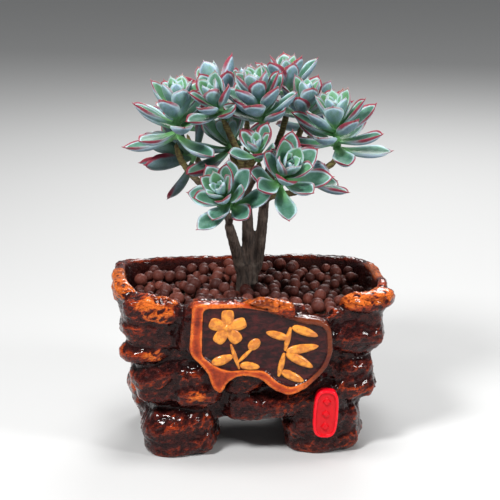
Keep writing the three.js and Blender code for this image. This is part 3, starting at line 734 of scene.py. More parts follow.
def glaze(settings):
    """Brown glaze that pools dark in the hollows and breaks orange over the rim and the edges."""
    made = Finish(
        "rock_glaze", Coat_Weight=1, Coat_Roughness=0.10, Coat_IOR=1.27, IOR=1.5, Specular_IOR_Level=0.03
    )
    edge, thin = made.attribute("edge"), made.attribute("thin")
    patches = made.noise((24, 24, 14), 4)
    streaks = made.noise((9, 9, 3.6), 6, 0.62, 0.9)
    crumple = made.noise((6.5, 6.5, 3.4), 3, 0.5, 1.2).folded()
    creases = made.noise((3.4, 3.4, 1.9), 2, 0.5, 0.8).folded()
    speckle = made.noise(1.3, 3)
    wear = edge + 0.26 * (streaks - 0.5) + 0.16 * crumple
    body = made.blend(made.ease(patches, 0.38, 0.68), settings.dark_glaze, settings.brown_glaze)
    body = made.blend(made.ease(wear + 0.35 * thin, 0.62, 1.08) * 0.8, body, (0.085, 0.011, 0.008))
    breaking = made.ease(wear + 0.8 * (patches - 0.5) + 0.5 * thin, 1.02, 1.26)
    body = made.blend(breaking * 0.85, body, settings.worn_glaze)
    pale = made.ease(wear + 0.6 * (patches - 0.5) + 0.75 * thin, 1.30, 1.62)
    body = made.blend(pale, body, settings.pale_glaze)
    pooled = made.ease(wear + 0.3 * thin, 0.52, 0.34) * (1 - 0.9 * thin.clamped())
    body = made.blend(pooled.clamped() * 0.9, body, (0.017, 0.0030, 0.0032))
    flames = made.noise((16, 16, 4.5), 5, 0.55, 1.4)
    body = made.blend(made.ease(flames, 0.49, 0.63) * breaking * 0.8, body, (0.10, 0.010, 0.006))
    body = made.blend(made.ease(speckle, 0.62, 0.74) * 0.25, body, settings.dark_glaze)
    roughness = 0.20 + 0.2 * breaking + 0.16 * streaks
    relief = made.relief((crumple, 1.3), (creases, 0.85), (speckle, 0.2))
    return made.done(Base_Color=body, Roughness=roughness, Normal=relief)


def on_tablet(x, y):
    """A place on the front of a point in the tilted tablet's own plane."""
    c, s = math.cos(TABLET_TILT), math.sin(TABLET_TILT)
    return TABLET[0] + x * c - y * s, TABLET[1] + x * s + y * c


def tablet_outline(shrink, steps=48):
    """The tablet's superellipse on the front, smaller all round by a shrink."""
    made = []
    for k in range(steps):
        turn = math.tau * k / steps
        wide, tall = (math.copysign(abs(f) ** 0.6, f) for f in (math.cos(turn), math.sin(turn)))
        made.append(on_tablet((TABLET_HALF[0] - shrink) * wide, (TABLET_HALF[1] - shrink) * tall))
    return made


def outline_distance(points, outline):
    """How far each point lies inside an outline, or outside it with a minus sign."""
    points, outline = np.array(points)[:, None, :2], np.array(outline)[None]
    after = np.roll(outline, -1, 1)
    edge, towards = after - outline, points - outline
    share = np.clip((towards * edge).sum(2) / (edge**2).sum(2), 0, 1)
    away = np.linalg.norm(towards - share[..., None] * edge, axis=2).min(1)
    rises = (outline[..., 1] > points[..., 1]) != (after[..., 1] > points[..., 1])
    with np.errstate(divide="ignore", invalid="ignore"):
        crossing = outline[..., 0] + edge[..., 0] * (points[..., 1] - outline[..., 1]) / edge[..., 1]
    inside = (rises & (points[..., 0] < crossing)).sum(1) % 2 == 1
    return np.where(inside, away, -away)


def carved_slab(outline, field, low, high, recess, grain, roughness):
    """A soft-edged slab on the front with a sunk field, in the front plane's own places. Its attribute
    rim is 1 on the border and 0 in the field."""
    level = Matrix.Scale(MM, 4)

    def flat(name, edge, bottom, top, bevel):
        made = shell(name, lambda bm: slab(bm, edge, bottom, top, bevel))
        made.data.transform(level @ DRAWING.inverted())
        return made

    block = flat("block", outline, low, high, 0.9)
    hollow = flat("hollow", field, high - recess, high + 4, 0)
    cut(block, hollow)
    remesh(block, grain * MM, 3)
    bm = applied(block, hollow)
    bmesh.ops.transform(bm, matrix=level.inverted() @ DRAWING, verts=bm.verts)
    bm.normal_update()
    rim = bm.verts.layers.float.new("rim")
    edge = bm.verts.layers.float.new("edge")
    depth = outline_distance([v.co for v in bm.verts], field)
    for vert, inner, proud in zip(bm.verts, depth, ridges(bm, 12)):
        vert[rim] = 1 - ease(inner, -0.9, 0.3)
        vert[edge] = clamp(0.5 + 2.2 * proud)
        if vert.co.z > low + 1:
            wobble = noise.fractal(vert.co / 5, 0.8, 2.0, 4) + 0.5 * noise.noise(vert.co / 1.7)
            vert.co += vert.normal * roughness * wobble
    return bm


class ECHEVERIA_OT_plaque(bpy.types.Operator):
    """Sets the plaque of two joined stones into the front of the pot"""

    bl_idname = "echeveria.plaque"
    bl_label = "Set Plaque"

    def execute(self, context):
        settings = context.scene.echeveria_pot
        outline, field = rounded(PLAQUE, 4), rounded(FIELD, 4)
        bm = carved_slab(outline, field, -2, PLAQUE_DEPTH, PLAQUE_RECESS + 0.4, 0.55, 0.22)
        bmesh.ops.transform(bm, matrix=FRONT, verts=bm.verts)
        finish_piece("pot_plaque", bm, plaque_glaze(settings), "pot")
        return {"FINISHED"}


def plaque_glaze(settings):
    """Orange border round a dark brown field, and dark where the border runs thin to the upper right."""
    made = Finish(
        "plaque_glaze", Coat_Weight=1, Coat_Roughness=0.06, Coat_IOR=1.3, IOR=1.5, Specular_IOR_Level=0.04
    )
    rim, edge = made.attribute("rim"), made.attribute("edge")
    streaks = made.noise((7, 7, 3), 5, 0.6, 0.5)
    patches = made.noise(10, 5, 0.6)
    fine = made.noise(1.5, 3)
    crumple = made.noise((6, 6, 4), 3, 0.5, 0.8).folded()
    field = made.blend(made.ease(streaks, 0.38, 0.7), (0.012, 0.003, 0.004), (0.065, 0.009, 0.009))
    place = {"Vector": made.object_place}
    across, height = (made.node("ShaderNodeSeparateXYZ", None, place, axis) for axis in "XZ")
    upper_right = made.ease(across + 0.6 * height, 0.050, 0.070)
    wear = edge + 1.1 * (patches - 0.5) + 0.5 * (streaks - 0.5)
    border = made.blend(made.ease(wear, 0.30, 0.78), (0.11, 0.010, 0.005), settings.worn_glaze)
    border = made.blend(made.ease(wear, 0.78, 1.1), border, settings.pale_glaze)
    border = made.blend(made.ease(fine, 0.56, 0.70) * 0.6, border, (0.08, 0.012, 0.006))
    border = made.blend(upper_right * 0.85, border, (0.05, 0.009, 0.007))
    body = made.blend(made.ease(rim + 0.35 * (streaks - 0.5), 0.3, 0.7), field, border)
    relief = made.relief((crumple, 0.4), (fine, 0.3))
    return made.done(Base_Color=body, Roughness=0.20 + 0.25 * streaks, Normal=relief)


# Ornaments on the plaque, a blossom sprig on the left stone and a bamboo cane on the right one:
# (across, up, half length, half width, turn, height)
BLOSSOM = (-19, 14)
PETAL_TURNS = (90, 162, 234, 306, 18)
PETAL_REACH = 6.3
STEMS = (
    (-14.5, -4.5, 8.6, 1.1, 108, 1.6),
    (-8.5, -4, 6.5, 1.0, 45, 1.6),
    (13.5, -10.5, 7.8, 1.5, 78, 1.7),
    (17.2, 6, 7.8, 1.4, 78, 1.7),
)
LEAVES = (
    (-22, -6.5, 7, 3.2, 21, 1.8),
    (-5.5, -11, 6, 2.8, -8, 1.8),
    (27.5, 10.5, 8.5, 2.8, -22, 1.8),
    (26, -0.5, 10, 3, 8, 1.8),
    (24.5, -8, 9.5, 3, -31, 1.8),
    (10.5, 8.5, 6.8, 2.6, 162, 1.8),
    (20.5, -18.5, 8, 2.8, -28, 1.8),
)
ROUNDS = (
    (*BLOSSOM, 2.6, 2.6, 0, 2.6),
    (-3, 3, 4.4, 3.3, 45, 1.9),
)


def petals():
    for turn in PETAL_TURNS:
        angle = math.radians(turn)
        across = BLOSSOM[0] + PETAL_REACH * math.cos(angle)
        yield (across, BLOSSOM[1] + PETAL_REACH * math.sin(angle), 5.2, 4.2, turn, 1.8)


def ornament(bm, row, width, crease=0.0):
    """Adds a low raised form. width(t) is its half width's share along it, and crease sinks its midrib."""
    across, up, half_long, half_wide, turn, height = row
    spot = Matrix.Translation((across, up, PLAQUE_DEPTH - PLAQUE_RECESS - 0.6))
    spin = spot @ Matrix.Rotation(math.radians(turn), 4, "Z")

    def place(t, around):
        share = width(t)
        x = -half_long * math.cos(math.pi * t)
        y = half_wide * share * math.cos(around)
        low = height * 0.9 * math.sin(around) * share**0.5
        rib = crease * math.exp(-((y / 0.5) ** 2)) * share if low > 0 else 0
        return FRONT @ spin @ Vector((x, y, max(-0.4, low - rib)))

    round_form(bm, 24, 16, place)


class ECHEVERIA_OT_ornaments(bpy.types.Operator):
    """Models the raised gold sprig and bamboo on the plaque"""

    bl_idname = "echeveria.ornaments"
    bl_label = "Model Ornaments"

    def execute(self, context):
        settings = context.scene.echeveria_pot
        bm = bmesh.new()
        for row in petals():
            ornament(bm, row, lambda t: math.sin(math.pi * t) ** 0.5 * mix(0.75, 1.1, t), 0.5)
        for row in LEAVES:
            ornament(bm, row, lambda t: math.sin(math.pi * t**0.85) ** 1.1, 0.5)
        for row in STEMS:
            ornament(bm, row, self.cane)
        for row in ROUNDS:
            ornament(bm, row, lambda t: math.sin(math.pi * t))
        finish_piece("pot_ornaments", bm, gold_glaze(settings), "pot")
        return {"FINISHED"}

    def cane(self, t):
        """A stem's half width, which is waisted twice and round at both ends."""
        return min(1, 5 * t, 5 * (1 - t)) ** 0.5 * (1 - 0.25 * math.sin(3 * math.pi * t))


def gold_glaze(settings):
    """Ochre slip under a glossy glaze, darker where it runs thin."""
    made = Finish("gold_glaze", Coat_Weight=0.4, Coat_Roughness=0.08, IOR=1.5, Specular_IOR_Level=0.15)
    worn = made.noise(3.2, 4)
    body = made.blend(made.ease(worn, 0.38, 0.62), (0.52, 0.16, 0.03), settings.gold)
    body = made.blend(made.ease(made.noise(1.2, 2), 0.62, 0.74) * 0.5, body, (0.2, 0.05, 0.016))
    return made.done(Base_Color=body, Roughness=0.25 + 0.25 * worn, Normal=made.relief((worn, 0.25)))


class ECHEVERIA_OT_tablet(bpy.types.Operator):
    """Sets the red enamelled oval tablet on the right foot"""

    bl_idname = "echeveria.tablet"
    bl_label = "Set Tablet"

    def execute(self, context):
        settings = context.scene.echeveria_pot
        bm = carved_slab(tablet_outline(0), tablet_outline(1.7), -3, 3, 1.1, 0.45, 0.12)
        for up in LOZENGES:
            self.lozenge(bm, up)
        bmesh.ops.transform(bm, matrix=FRONT, verts=bm.verts)
        finish_piece("pot_tablet", bm, red_enamel(settings), "pot")
        return {"FINISHED"}

    def lozenge(self, bm, up):
        """Adds a raised lozenge at a height in the tablet's middle."""
        middle = Matrix.Translation((*on_tablet(0, up), 2.4))
        made = bmesh.ops.create_cone(
            bm, cap_ends=True, segments=4, radius1=3.5, radius2=2.2, depth=1.2,
            matrix=middle @ Matrix.Rotation(TABLET_TILT, 4, "Z") @ Matrix.Scale(0.8, 4, (1, 0, 0)),
        )["verts"]
        round_edges(bm, dict.fromkeys(e for v in made for e in v.link_edges), 0.35, 2)


def red_enamel(settings):
    """Bright red enamel, a little darker in the sunk field: partly where it pools there, partly painted
    shade of the recess.
    """
    made = Finish("red_enamel", Coat_Weight=0.25, Coat_Roughness=0.06, IOR=1.5, Specular_IOR_Level=0.15)
    worn = made.noise(5, 4)
    # Painted shade: the sunk field is darker, partly enamel pooled there and partly the shade of its recess
    pooled = made.blend(worn, (0.48, 0.002, 0.006), (0.66, 0.003, 0.010))
    body = made.blend(made.ease(made.attribute("rim"), 0.3, 0.7), pooled, settings.red)
    return made.done(Base_Color=body, Roughness=0.2 + 0.2 * worn, Normal=made.relief((worn, 0.3)))


# The dressing is mounded round the stem by a height over a spread, and rises over a stretch of the back
MOUND = 3.4
MOUND_SPREAD = 24
BACK_RISE = 5
BACK_STRETCH = (4, 44)
# The room that the trunk takes up, and the height at which the wall bounds the granules
TRUNK_ROOM = 7.5
WALL_Z = 92
# The places tried for a granule, how far over the bed one may lie, and the misses that end the laying
PLACES_TRIED = 26
HIGHEST_OVER_BED = 3.2
MOST_MISSES = 40


def bed_level(x, y):
    """The level of the dressing's hollows."""
    away = ((x - TRUNK[0]) ** 2 + (y - TRUNK[1]) ** 2) / (2 * MOUND_SPREAD**2)
    return BED_Z + MOUND * math.exp(-away) + BACK_RISE * ease(y, *BACK_STRETCH)


def rest_height(balls, x, y, r):
    """How low the middle of a granule can come at a place, over the floor and the granules already laid."""
    z = MIX_TOP_Z + r + GAP
    for bx, by, bz, br in balls:
        reach = (r + br) ** 2 - (x - bx) ** 2 - (y - by) ** 2
        if reach > 0:
            z = max(z, bz + math.sqrt(reach))
    return z


def has_place(x, y, r):
    """Whether a granule fits between the pot's wall and the trunk."""
    beside = math.hypot(x - TRUNK[0], y - TRUNK[1]) > TRUNK_ROOM + r
    half_x, half_y = (along(profile, WALL_Z) - GAP - r for profile in INSIDE)
    return beside and (abs(x) / half_x) ** CORNER_POWER + (abs(y) / half_y) ** CORNER_POWER < 1


def laid_granules(settings):
    """Drops granules one after another to the lowest of some random places until the bed is full."""
    draw = random.Random(settings.seed)
    step = settings.largest / MM
    laid = []
    cells = {}
    misses = 0
    while misses < MOST_MISSES:
        r = draw.uniform(settings.smallest, settings.largest) / 2 / MM
        best = None
        for _ in range(PLACES_TRIED):
            x = draw.uniform(-1, 1) * (RIM_HALF_X - WALL)
            y = draw.uniform(-1, 1) * (RIM_HALF_Y - WALL)
            if not has_place(x, y, r):
                continue
            column, row = round(x / step), round(y / step)
            around = [(column + i, row + j) for i in (-1, 0, 1) for j in (-1, 0, 1)]
            z = rest_height([ball for cell in around for ball in cells.get(cell, ())], x, y, r)
            over = z - bed_level(x, y)
            if best is None or over < best[0]:
                best = (over, x, y, z)
        if best is None or best[0] > HIGHEST_OVER_BED:
            misses += 1
            continue
        over, x, y, z = best
        cells.setdefault((round(x / step), round(y / step)), []).append((x, y, z, r))
        laid.append((x, y, z, r))
    return laid


class ECHEVERIA_OT_granules(bpy.types.Operator):
    """Lays the fired clay granules over the growing mix"""

    bl_idname = "echeveria.granules"
    bl_label = "Lay Granules"

    def execute(self, context):
        settings = context.scene.echeveria_granules
        bm = bmesh.new()
        tone = bm.verts.layers.float.new("tone")
        for k, (x, y, z, r) in enumerate(laid_granules(settings)):
            turn = Matrix.Rotation(3 * vary(k), 4, Vector((vary(k + 0.2), vary(k + 0.4), 1)))
            squash = Matrix.Diagonal((1 + 0.07 * vary(k + 0.6), 1, 1 - 0.07 * abs(vary(k + 0.8)), 1))
            place = Matrix.Translation((x, y, z)) @ turn @ squash
            made = bmesh.ops.create_icosphere(bm, subdivisions=2, radius=r, matrix=place)["verts"]
            for vert in made:
                vert[tone] = 0.5 + 0.5 * vary(k + 0.9)
        finish_piece("granules", bm, fired_clay(settings), "clay_granules")
        return {"FINISHED"}


def fired_clay(settings):
    """Rolled clay pellets, each of its own shade, with fine pores and paler rubbed spots."""
    made = Finish("fired_clay", IOR=1.45, Specular_IOR_Level=0.2)
    tone = made.attribute("tone")
    grain = made.noise(1.1, 4, 0.6)
    pores = made.cells(0.7)
    dark = made.blend(tone, (0.040, 0.010, 0.008), settings.clay)
    body = made.blend(made.ease(grain, 0.45, 0.7) * (0.08 + 0.4 * tone), dark, settings.dust)
    body = made.blend(made.ease(pores, 0.28, 0.1) * 0.6, body, (0.03, 0.012, 0.01))
    relief = made.relief((made.ease(pores, 0.1, 0.4), 0.14), (grain, 0.3))
    return made.done(Base_Color=body, Roughness=0.34 + 0.26 * grain, Normal=relief)


class ECHEVERIA_OT_filling(bpy.types.Operator):
    """Finishes the growing mix and the drainage mesh under it"""

    bl_idname = "echeveria.filling"
    bl_label = "Finish Filling"

    def execute(self, context):
        for node, material in (("growing_mix", growing_mix()), ("drainage_mesh", dark_plastic())):
            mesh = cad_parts[node].data
            mesh.materials.clear()
            mesh.materials.append(material)
        return {"FINISHED"}


def growing_mix():
    """Dark peat with crumbs and pale grit."""
    made = Finish("growing_mix", IOR=1.4)
    crumbs = made.noise(2.4, 6, 0.7)
    grit = made.cells(3.1)
    body = made.blend(made.ease(crumbs, 0.35, 0.7), (0.012, 0.008, 0.005), (0.07, 0.038, 0.02))
    body = made.blend(made.ease(grit, 0.2, 0.12) * 0.8, body, (0.25, 0.2, 0.15))
    return made.done(Base_Color=body, Roughness=0.8 + 0.2 * crumbs, Normal=made.relief((crumbs, 1.2)))


def dark_plastic():
    """Matt extruded plastic with fine drawing lines."""
    made = Finish("dark_plastic", IOR=1.46)
    lines = made.noise((0.6, 8, 2), 3)
    body = made.blend(lines, (0.010, 0.011, 0.010), (0.022, 0.023, 0.022))
    return made.done(Base_Color=body, Roughness=0.5 + 0.2 * lines, Normal=made.relief((lines, 0.08)))


# Plant: branches as cubic curves (four points, radius at both ends)
TX, TY = TRUNK
LIMBS = (
    (((TX, TY, 66), (TX, TY, 84), (TX, TY, 98), (TX, TY, 112)), 8.6, 6),
    (((TX - 3, TY, 98), (TX - 5, TY - 2, 112), (TX - 10, TY - 6, 124), (-14, -1, 138)), 4.2, 3),
    (((TX, TY, 100), (TX + 1, TY, 120), (TX, TY - 3, 140), (-2, 4, 160)), 4.6, 2.8),
    (((TX + 4, TY, 98), (TX + 8, TY, 114), (TX + 10, TY - 1, 136), (10, 4, 158)), 4.2, 2.9),
)
# Roots: how many, and each one's reach and height at its four points
ROOT_COUNT = 4
ROOT_PATH = ((0, 74), (14, 74), (22, 66), (26, 56))
# The radius of a rosette's branch at its fork and at the rosette, and the grain of the wood's surface
TWIG_RADII = (2.5, 1.9)
WOOD_GRAIN = 0.8


def root(k):
    turn = math.radians(20 + 360 / ROOT_COUNT * k)
    c, s = math.cos(turn), math.sin(turn)
    return [(TX + reach * c, TY + reach * s, z) for reach, z in ROOT_PATH], 4, 1.8


# Rosettes: name, the base and top of the fleshy stalk, the limb that carries it and how far up it,
# the number of leaves, the first one's turn, the spiral's hand, the opening and the length of the first
# and last leaf
ROSETTES = (
    ("front_right", (13.5, -38, 165.5), (17.5, -52, 178.5), 3, 0.72, 18, 186, -1, (84, 10), (33, 17)),
    ("front_left", (-12.5, -34, 153), (-20.5, -48, 165.5), 1, 0.86, 17, 357, -1, (77, 18), (27.5, 17)),
    ("front_upper", (2.5, -32, 181.5), (1, -38, 190), 2, 0.8, 11, 111, -1, (74, 6), (22, 8.5)),
    ("right", (53, -10, 181.5), (50.5, -16, 206), 3, 0.9, 23, 359, 1, (99, 13), (34.5, 14)),
    ("left", (-46, -10, 190), (-45.5, -15, 217), 1, 1, 22, 171, 1, (105, 10), (34, 12.5)),
    ("top", (7, -15, 200), (2.5, -20, 220.5), 2, 1, 22, 151, 1, (76, 14), (29, 18)),
    ("upper_left", (-18.5, -17, 205.5), (-22.5, -22, 215), 2, 0.94, 16, 128, -1, (85, 11), (27, 18)),
    ("top_back", (25.5, 20, 211.5), (25, 20, 223), 3, 1, 13, 197, -1, (74, 10), (29, 10)),
    ("upper_right", (33.5, 6, 198), (34.5, 3, 211), 3, 0.96, 13, 160, -1, (76, 6), (27, 14)),
    ("heart", (-11.5, 3, 180.5), (-13, 1, 188.5), 2, 0.88, 10, 128, -1, (90, 6), (31, 14)),
    ("left_lower", (-32.5, 12, 173.5), (-42, 16, 178), 1, 0.97, 10, 122, -1, (79, 8), (36, 20)),
    ("right_lower", (35.5, -4, 159), (41.5, -7, 167), 3, 0.82, 8, 38, 1, (83, 14), (28, 14)),
    ("back_upper", (-14.5, 20, 202), (-19, 24, 215.5), 2, 0.98, 10, 7, 1, (84, 6), (35, 16.5)),
    ("back_left", (-37, 40, 186), (-42, 46, 203), 1, 0.92, 14, 20, 1, (92, 9), (29, 12)),
    ("back", (2, 46, 196), (2, 53, 212), 2, 0.9, 14, 80, -1, (92, 9), (29, 12)),
    ("back_right", (43, 35, 188), (47, 41, 205), 3, 0.93, 14, 140, 1, (92, 9), (29, 12)),
)
# Old leaves that keep their own place: (height, turn, opening, length)
OLD_LEAVES = {"heart": ((2.4, 217, 84, 46),)}
# How far a rosette's skin is painted towards the dull shade green: painted shade for the rosettes that lie
# in the crown's shade
SHADED = {"heart": 0.55, "left_lower": 0.9}

# A leaf's outline: where it is widest and where its root ends, as shares of its length, and how wide its
# neck is, as a share of its largest width. The point is rounded by a power: the first one as in the
# solids, by which leaves are kept apart, and the second one, rounder, for the leaves that are seen.
WIDEST = 0.62
ROOT_END = 0.06
NECK = 0.27
POINT_POWER = 2.1
SPOON_POWER = 2.9
# How far apart along a branch two places are taken for its direction
TANGENT_STEP = 0.0001


def curve_point(points, t):
    a, b, c, d = (np.array(p, float) for p in points)
    u = 1 - t
    return u**3 * a + 3 * u * u * t * b + 3 * u * t * t * c + t**3 * d


def curve_tangent(points, t):
    ahead, behind = min(1, t + TANGENT_STEP), max(0, t - TANGENT_STEP)
    chord = curve_point(points, ahead) - curve_point(points, behind)
    return chord / np.linalg.norm(chord)


class Rosette:
    """One rosette's stalk, with the directions that its leaves turn between."""

    def __init__(self, name, base, top, limb, fork, leaves, first, hand, opening, length):
        self.name = name
        self.base = np.array(base, float)
        axis = np.array(top, float) - self.base
        self.height = float(np.linalg.norm(axis))
        self.axis = axis / self.height
        across = np.array((1.0, 0.0, 0.0)) - self.axis * self.axis[0]
        self.across = across / np.linalg.norm(across)
        self.away = np.cross(self.axis, self.across)
        self.limb, self.fork = limb, fork
        self.leaves, self.first, self.hand = leaves, first, hand
        self.opening, self.length = opening, length
        self.old = OLD_LEAVES.get(name, ())

    def spiral(self):
        """The leaves from the lowest up, as they would be with room all round."""
        for k in range(self.leaves):
            share = k / (self.leaves - 1)
            up = max(LOWEST_LEAF, self.height * mix(0.1, 0.93, share))
            opening = mix(*self.opening, share**OPENING_POWER)
            length = mix(*self.length, share**LENGTH_POWER)
            yield up, self.first + self.hand * GOLDEN_ANGLE * k, opening, length

    def buds(self, count):
        """Closed young leaves that carry the spiral on, over the last grown one."""
        for k in range(count):
            share = (k + 1) / count
            turn = self.first + self.hand * GOLDEN_ANGLE * (self.leaves + k)
            opening = max(2.0, self.opening[1] * (1 - 0.6 * share))
            length = self.length[1] * mix(0.85, 0.45, share)
            yield self.height * mix(0.93, 0.97, share), turn, opening, length

    def twig(self):
        """The branch that leaves its limb along it and arrives along the stalk."""
        limb = LIMBS[self.limb][0]
        start = curve_point(limb, self.fork)
        span = np.linalg.norm(self.base - start)
        towards = start + curve_tangent(limb, self.fork) * 0.3 * span
        return (start, towards, self.base - self.axis * 0.35 * span, self.base), *TWIG_RADII


def leaf_outline(t, point_power=POINT_POWER):
    """A leaf's half width as a share of its largest: spoon shaped, with a neck and a point."""
    s = np.clip(t / WIDEST, 0, 1)
    spoon = np.minimum(1, t / ROOT_END) * mix(NECK, 1, s * s * (3 - 2 * s))
    point = 1 - np.clip((t - WIDEST) / (1 - WIDEST), 0, 1) ** point_power
    return np.where(t > WIDEST, point, spoon)


def leaf_frame(rosette, leaf, t):
    """The middles of a leaf's sections at each t, the directions out of its upper face, and across it."""
    height, turn, opening, length = leaf
    turned = math.radians(turn)
    out = rosette.across * math.cos(turned) + rosette.away * math.sin(turned)
    side = np.cross(rosette.axis, out)
    bend = math.radians(14 + 0.25 * opening)
    first = math.radians(opening) + bend / 2
    angle = first - bend * t
    reach = length / bend * (np.cos(angle) - math.cos(first))
    rise = length / bend * (math.sin(first) - np.sin(angle))
    middle = rosette.base + np.outer(height + rise, rosette.axis) + np.outer(0.4 + reach, out)
    upward = np.outer(np.sin(angle), rosette.axis) - np.outer(np.cos(angle), out)
    return middle, upward, side


def leaf_points(rosette, leaf, t, around):
    """Points on a leaf: t runs from its root to its tip, around goes round its section."""
    middle, upward, side = leaf_frame(rosette, leaf, t)
    length = leaf[3]
    share = leaf_outline(t)
    half = 0.5 * min(LEAF_WIDTH * length, WIDEST_LEAF) * share
    c, s = np.cos(around), np.sin(around)
    ends = np.minimum(1, t / ROOT_END) * (1 - t**8)
    full = LEAF_THICKNESS * length * mix(0.4, 1, share) * ends
    lift = LEAF_CUP * half * c * c + full * s * np.where(s > 0, 1 - KEEL, KEEL)
    return middle + upward * lift[:, None] + np.outer(half * c, side)


# Points all over a leaf, by which a crossing is noticed
PROBE_STATIONS = (0.15, 0.25, 0.36, 0.48, 0.6, 0.72, 0.83, 0.93, 1)
PROBE_WIDTHS = (-1, -0.66, -0.33, 0, 0.33, 0.66, 1)
PROBE_T = np.repeat(PROBE_STATIONS, len(PROBE_WIDTHS))
PROBE_AROUND = np.tile(np.arccos(PROBE_WIDTHS), len(PROBE_STATIONS))


class Crowd:
    """Everything that a leaf keeps clear of, as balls that each belong to a rosette or to none."""

    def __init__(self):
        self.centres = np.zeros((0, 3))
        self.reach = np.zeros(0)
        self.owners = np.zeros(0, int)

    def add(self, centres, radii, owner):
        centres = np.array(centres)
        self.centres = np.vstack([self.centres, centres])
        self.reach = np.append(self.reach, np.array(radii) + CLEARANCE)
        self.owners = np.append(self.owners, np.full(len(centres), owner))

    def leaves_room(self, points, owner):
        middle = points.mean(0)
        radius = np.linalg.norm(points - middle, axis=1).max()
        apart = np.linalg.norm(self.centres - middle, axis=1)
        close = (self.owners != owner) & (apart < radius + self.reach)
        away = ((points[:, None, :] - self.centres[close][None]) ** 2).sum(2)
        return bool((away > self.reach[close][None] ** 2).all())


def ways(leaf):
    """The ways that a leaf may grow, best first: folded up more and more, and turned a little."""
    up, turn, opening, length = leaf
    for k in range(FOLDS):
        for swing in (0, -SWING, SWING):
            yield up, turn + swing, opening * (1 - FOLD * k), length * (1 - SHORTEN * k)


def grow_leaves(rosettes):
    """Grows every rosette's leaves clear of the other rosettes and the branches, the most upright
    first. A leaf for which no way has room is left out. Gives each rosette's leaves, and the crowd."""
    crowd = Crowd()
    steps = [k / 16 for k in range(17)]
    for points, start, end in LIMBS:
        crowd.add([curve_point(points, t) for t in steps], [mix(start, end, t) for t in steps], -1)
    for owner, rosette in enumerate(rosettes):
        heights = [t * rosette.height for t in (0.1, 0.4, 0.7, 1)]
        crowd.add([rosette.base + rosette.axis * h for h in heights], [STALK_R] * 4, owner)
        points, start, end = rosette.twig()
        crowd.add([curve_point(points, t) for t in steps], [mix(start, end, t) for t in steps], owner)
    wanted = [(owner, leaf) for owner, rosette in enumerate(rosettes) for leaf in rosette.spiral()]
    wanted.sort(key=lambda one: one[1][2])
    old = [(owner, leaf) for owner, rosette in enumerate(rosettes) for leaf in rosette.old]
    grown = [[] for _ in rosettes]
    for owner, leaf in old + wanted:
        for way in ways(leaf):
            points = leaf_points(rosettes[owner], way, PROBE_T, PROBE_AROUND)
            if crowd.leaves_room(points, owner):
                crowd.add(points, np.zeros(len(points)), owner)
                grown[owner].append(way)
                break
    return grown, crowd


def tube(bm, branch):
    """Adds a closed tapered tube along a branch, with round ends."""
    points, start, end = branch
    level = (Vector(points[3]) - Vector(points[0])).cross((0, 0, 1))
    reference = level.normalized() if level.length > 2 else Vector((1, 0, 0))

    def place(t, around):
        tangent = Vector(curve_tangent(points, t))
        side = reference.cross(tangent).normalized()
        up = tangent.cross(side)
        r = mix(start, end, t) * min(1, math.sqrt(8 * t), math.sqrt(8 * (1 - t)))
        return Vector(curve_point(points, t)) + (up * math.cos(around) + side * math.sin(around)) * r

    round_form(bm, 14, 26, place)


class ECHEVERIA_OT_stem(bpy.types.Operator):
    """Grows the woody stem, its branches and its roots"""

    bl_idname = "echeveria.stem"
    bl_label = "Grow Stem"

    def execute(self, context):
        rosettes = [Rosette(*row) for row in ROSETTES]
        branches = [*LIMBS, *(root(k) for k in range(ROOT_COUNT)), *(r.twig() for r in rosettes)]

        def build(bm):
            for branch in branches:
                tube(bm, branch)

        wood = shell("wood", build)
        remesh(wood, WOOD_GRAIN * MM, 2)
        bm = applied(wood)
        bm.normal_update()
        age = bm.verts.layers.float.new("age")
        bases = [Vector(r.base) for r in rosettes]
        for vert in bm.verts:
            nearest = min((vert.co - base).length for base in bases)
            vert[age] = ease(nearest, 4, 46)
            vert.co += vert.normal * self.bark_relief(vert.co, vert[age])
        finish_piece("stem_wood", bm, bark(context.scene.echeveria_plant), "stem")
        return {"FINISHED"}

    def bark_relief(self, point, age):
        """Relief in the bark: long fissures where it is old, and rings of leaf scars where it is young."""
        long_grain = Vector((point.x / 1.9, point.y / 1.9, point.z / 9))
        fissure = noise.ridged_multi_fractal(long_grain, 0.9, 2.0, 3, 1.0, 2.0) - 1.2
        scars = noise.fractal(Vector((point.x / 3, point.y / 3, point.z / 1.6)), 0.8, 2.0, 3)
        return mix(0.28 * scars, 0.34 * clamp(fissure, -1, 1), age)


def bark(settings):
    """Fissured grey-brown bark that turns to olive skin near the rosettes."""
    made = Finish("bark", IOR=1.4)
    age = made.attribute("age")
    fissures = made.noise((1.2, 1.2, 8), 6, 0.65)
    scars = made.noise((3.5, 3.5, 1.0), 3)
    old = made.blend(made.ease(fissures, 0.35, 0.65), (0.02, 0.014, 0.011), settings.bark)
    old = made.blend(made.ease(made.noise(5, 4), 0.5, 0.75) * 0.6, old, (0.16, 0.125, 0.10))
    young = made.blend(made.ease(scars, 0.4, 0.65), (0.09, 0.06, 0.025), settings.young_bark)
    body = made.blend(made.ease(age + 0.3 * (fissures - 0.5), 0.15, 0.6), young, old)
    relief = made.relief((fissures, 0.7))
    return made.done(Base_Color=body, Roughness=0.62 + 0.25 * fissures, Normal=relief)


# The float attributes that a leaf's skin is coloured by
LEAF_MARKS = ("along", "margin", "upper", "age", "tone", "shaded")
# Every leaf varies by a seed of its own: so many are kept for a rosette, with its buds' starting further on
ROSETTE_SEEDS = 40
BUD_SEEDS = 30


def unit_sphere(sides, rings):
    """A sphere's mesh, which leaves are shaped from."""
    bm = bmesh.new()
    bmesh.ops.create_uvsphere(bm, u_segments=sides, v_segments=rings, radius=1)
    return mesh_of("sphere", bm)


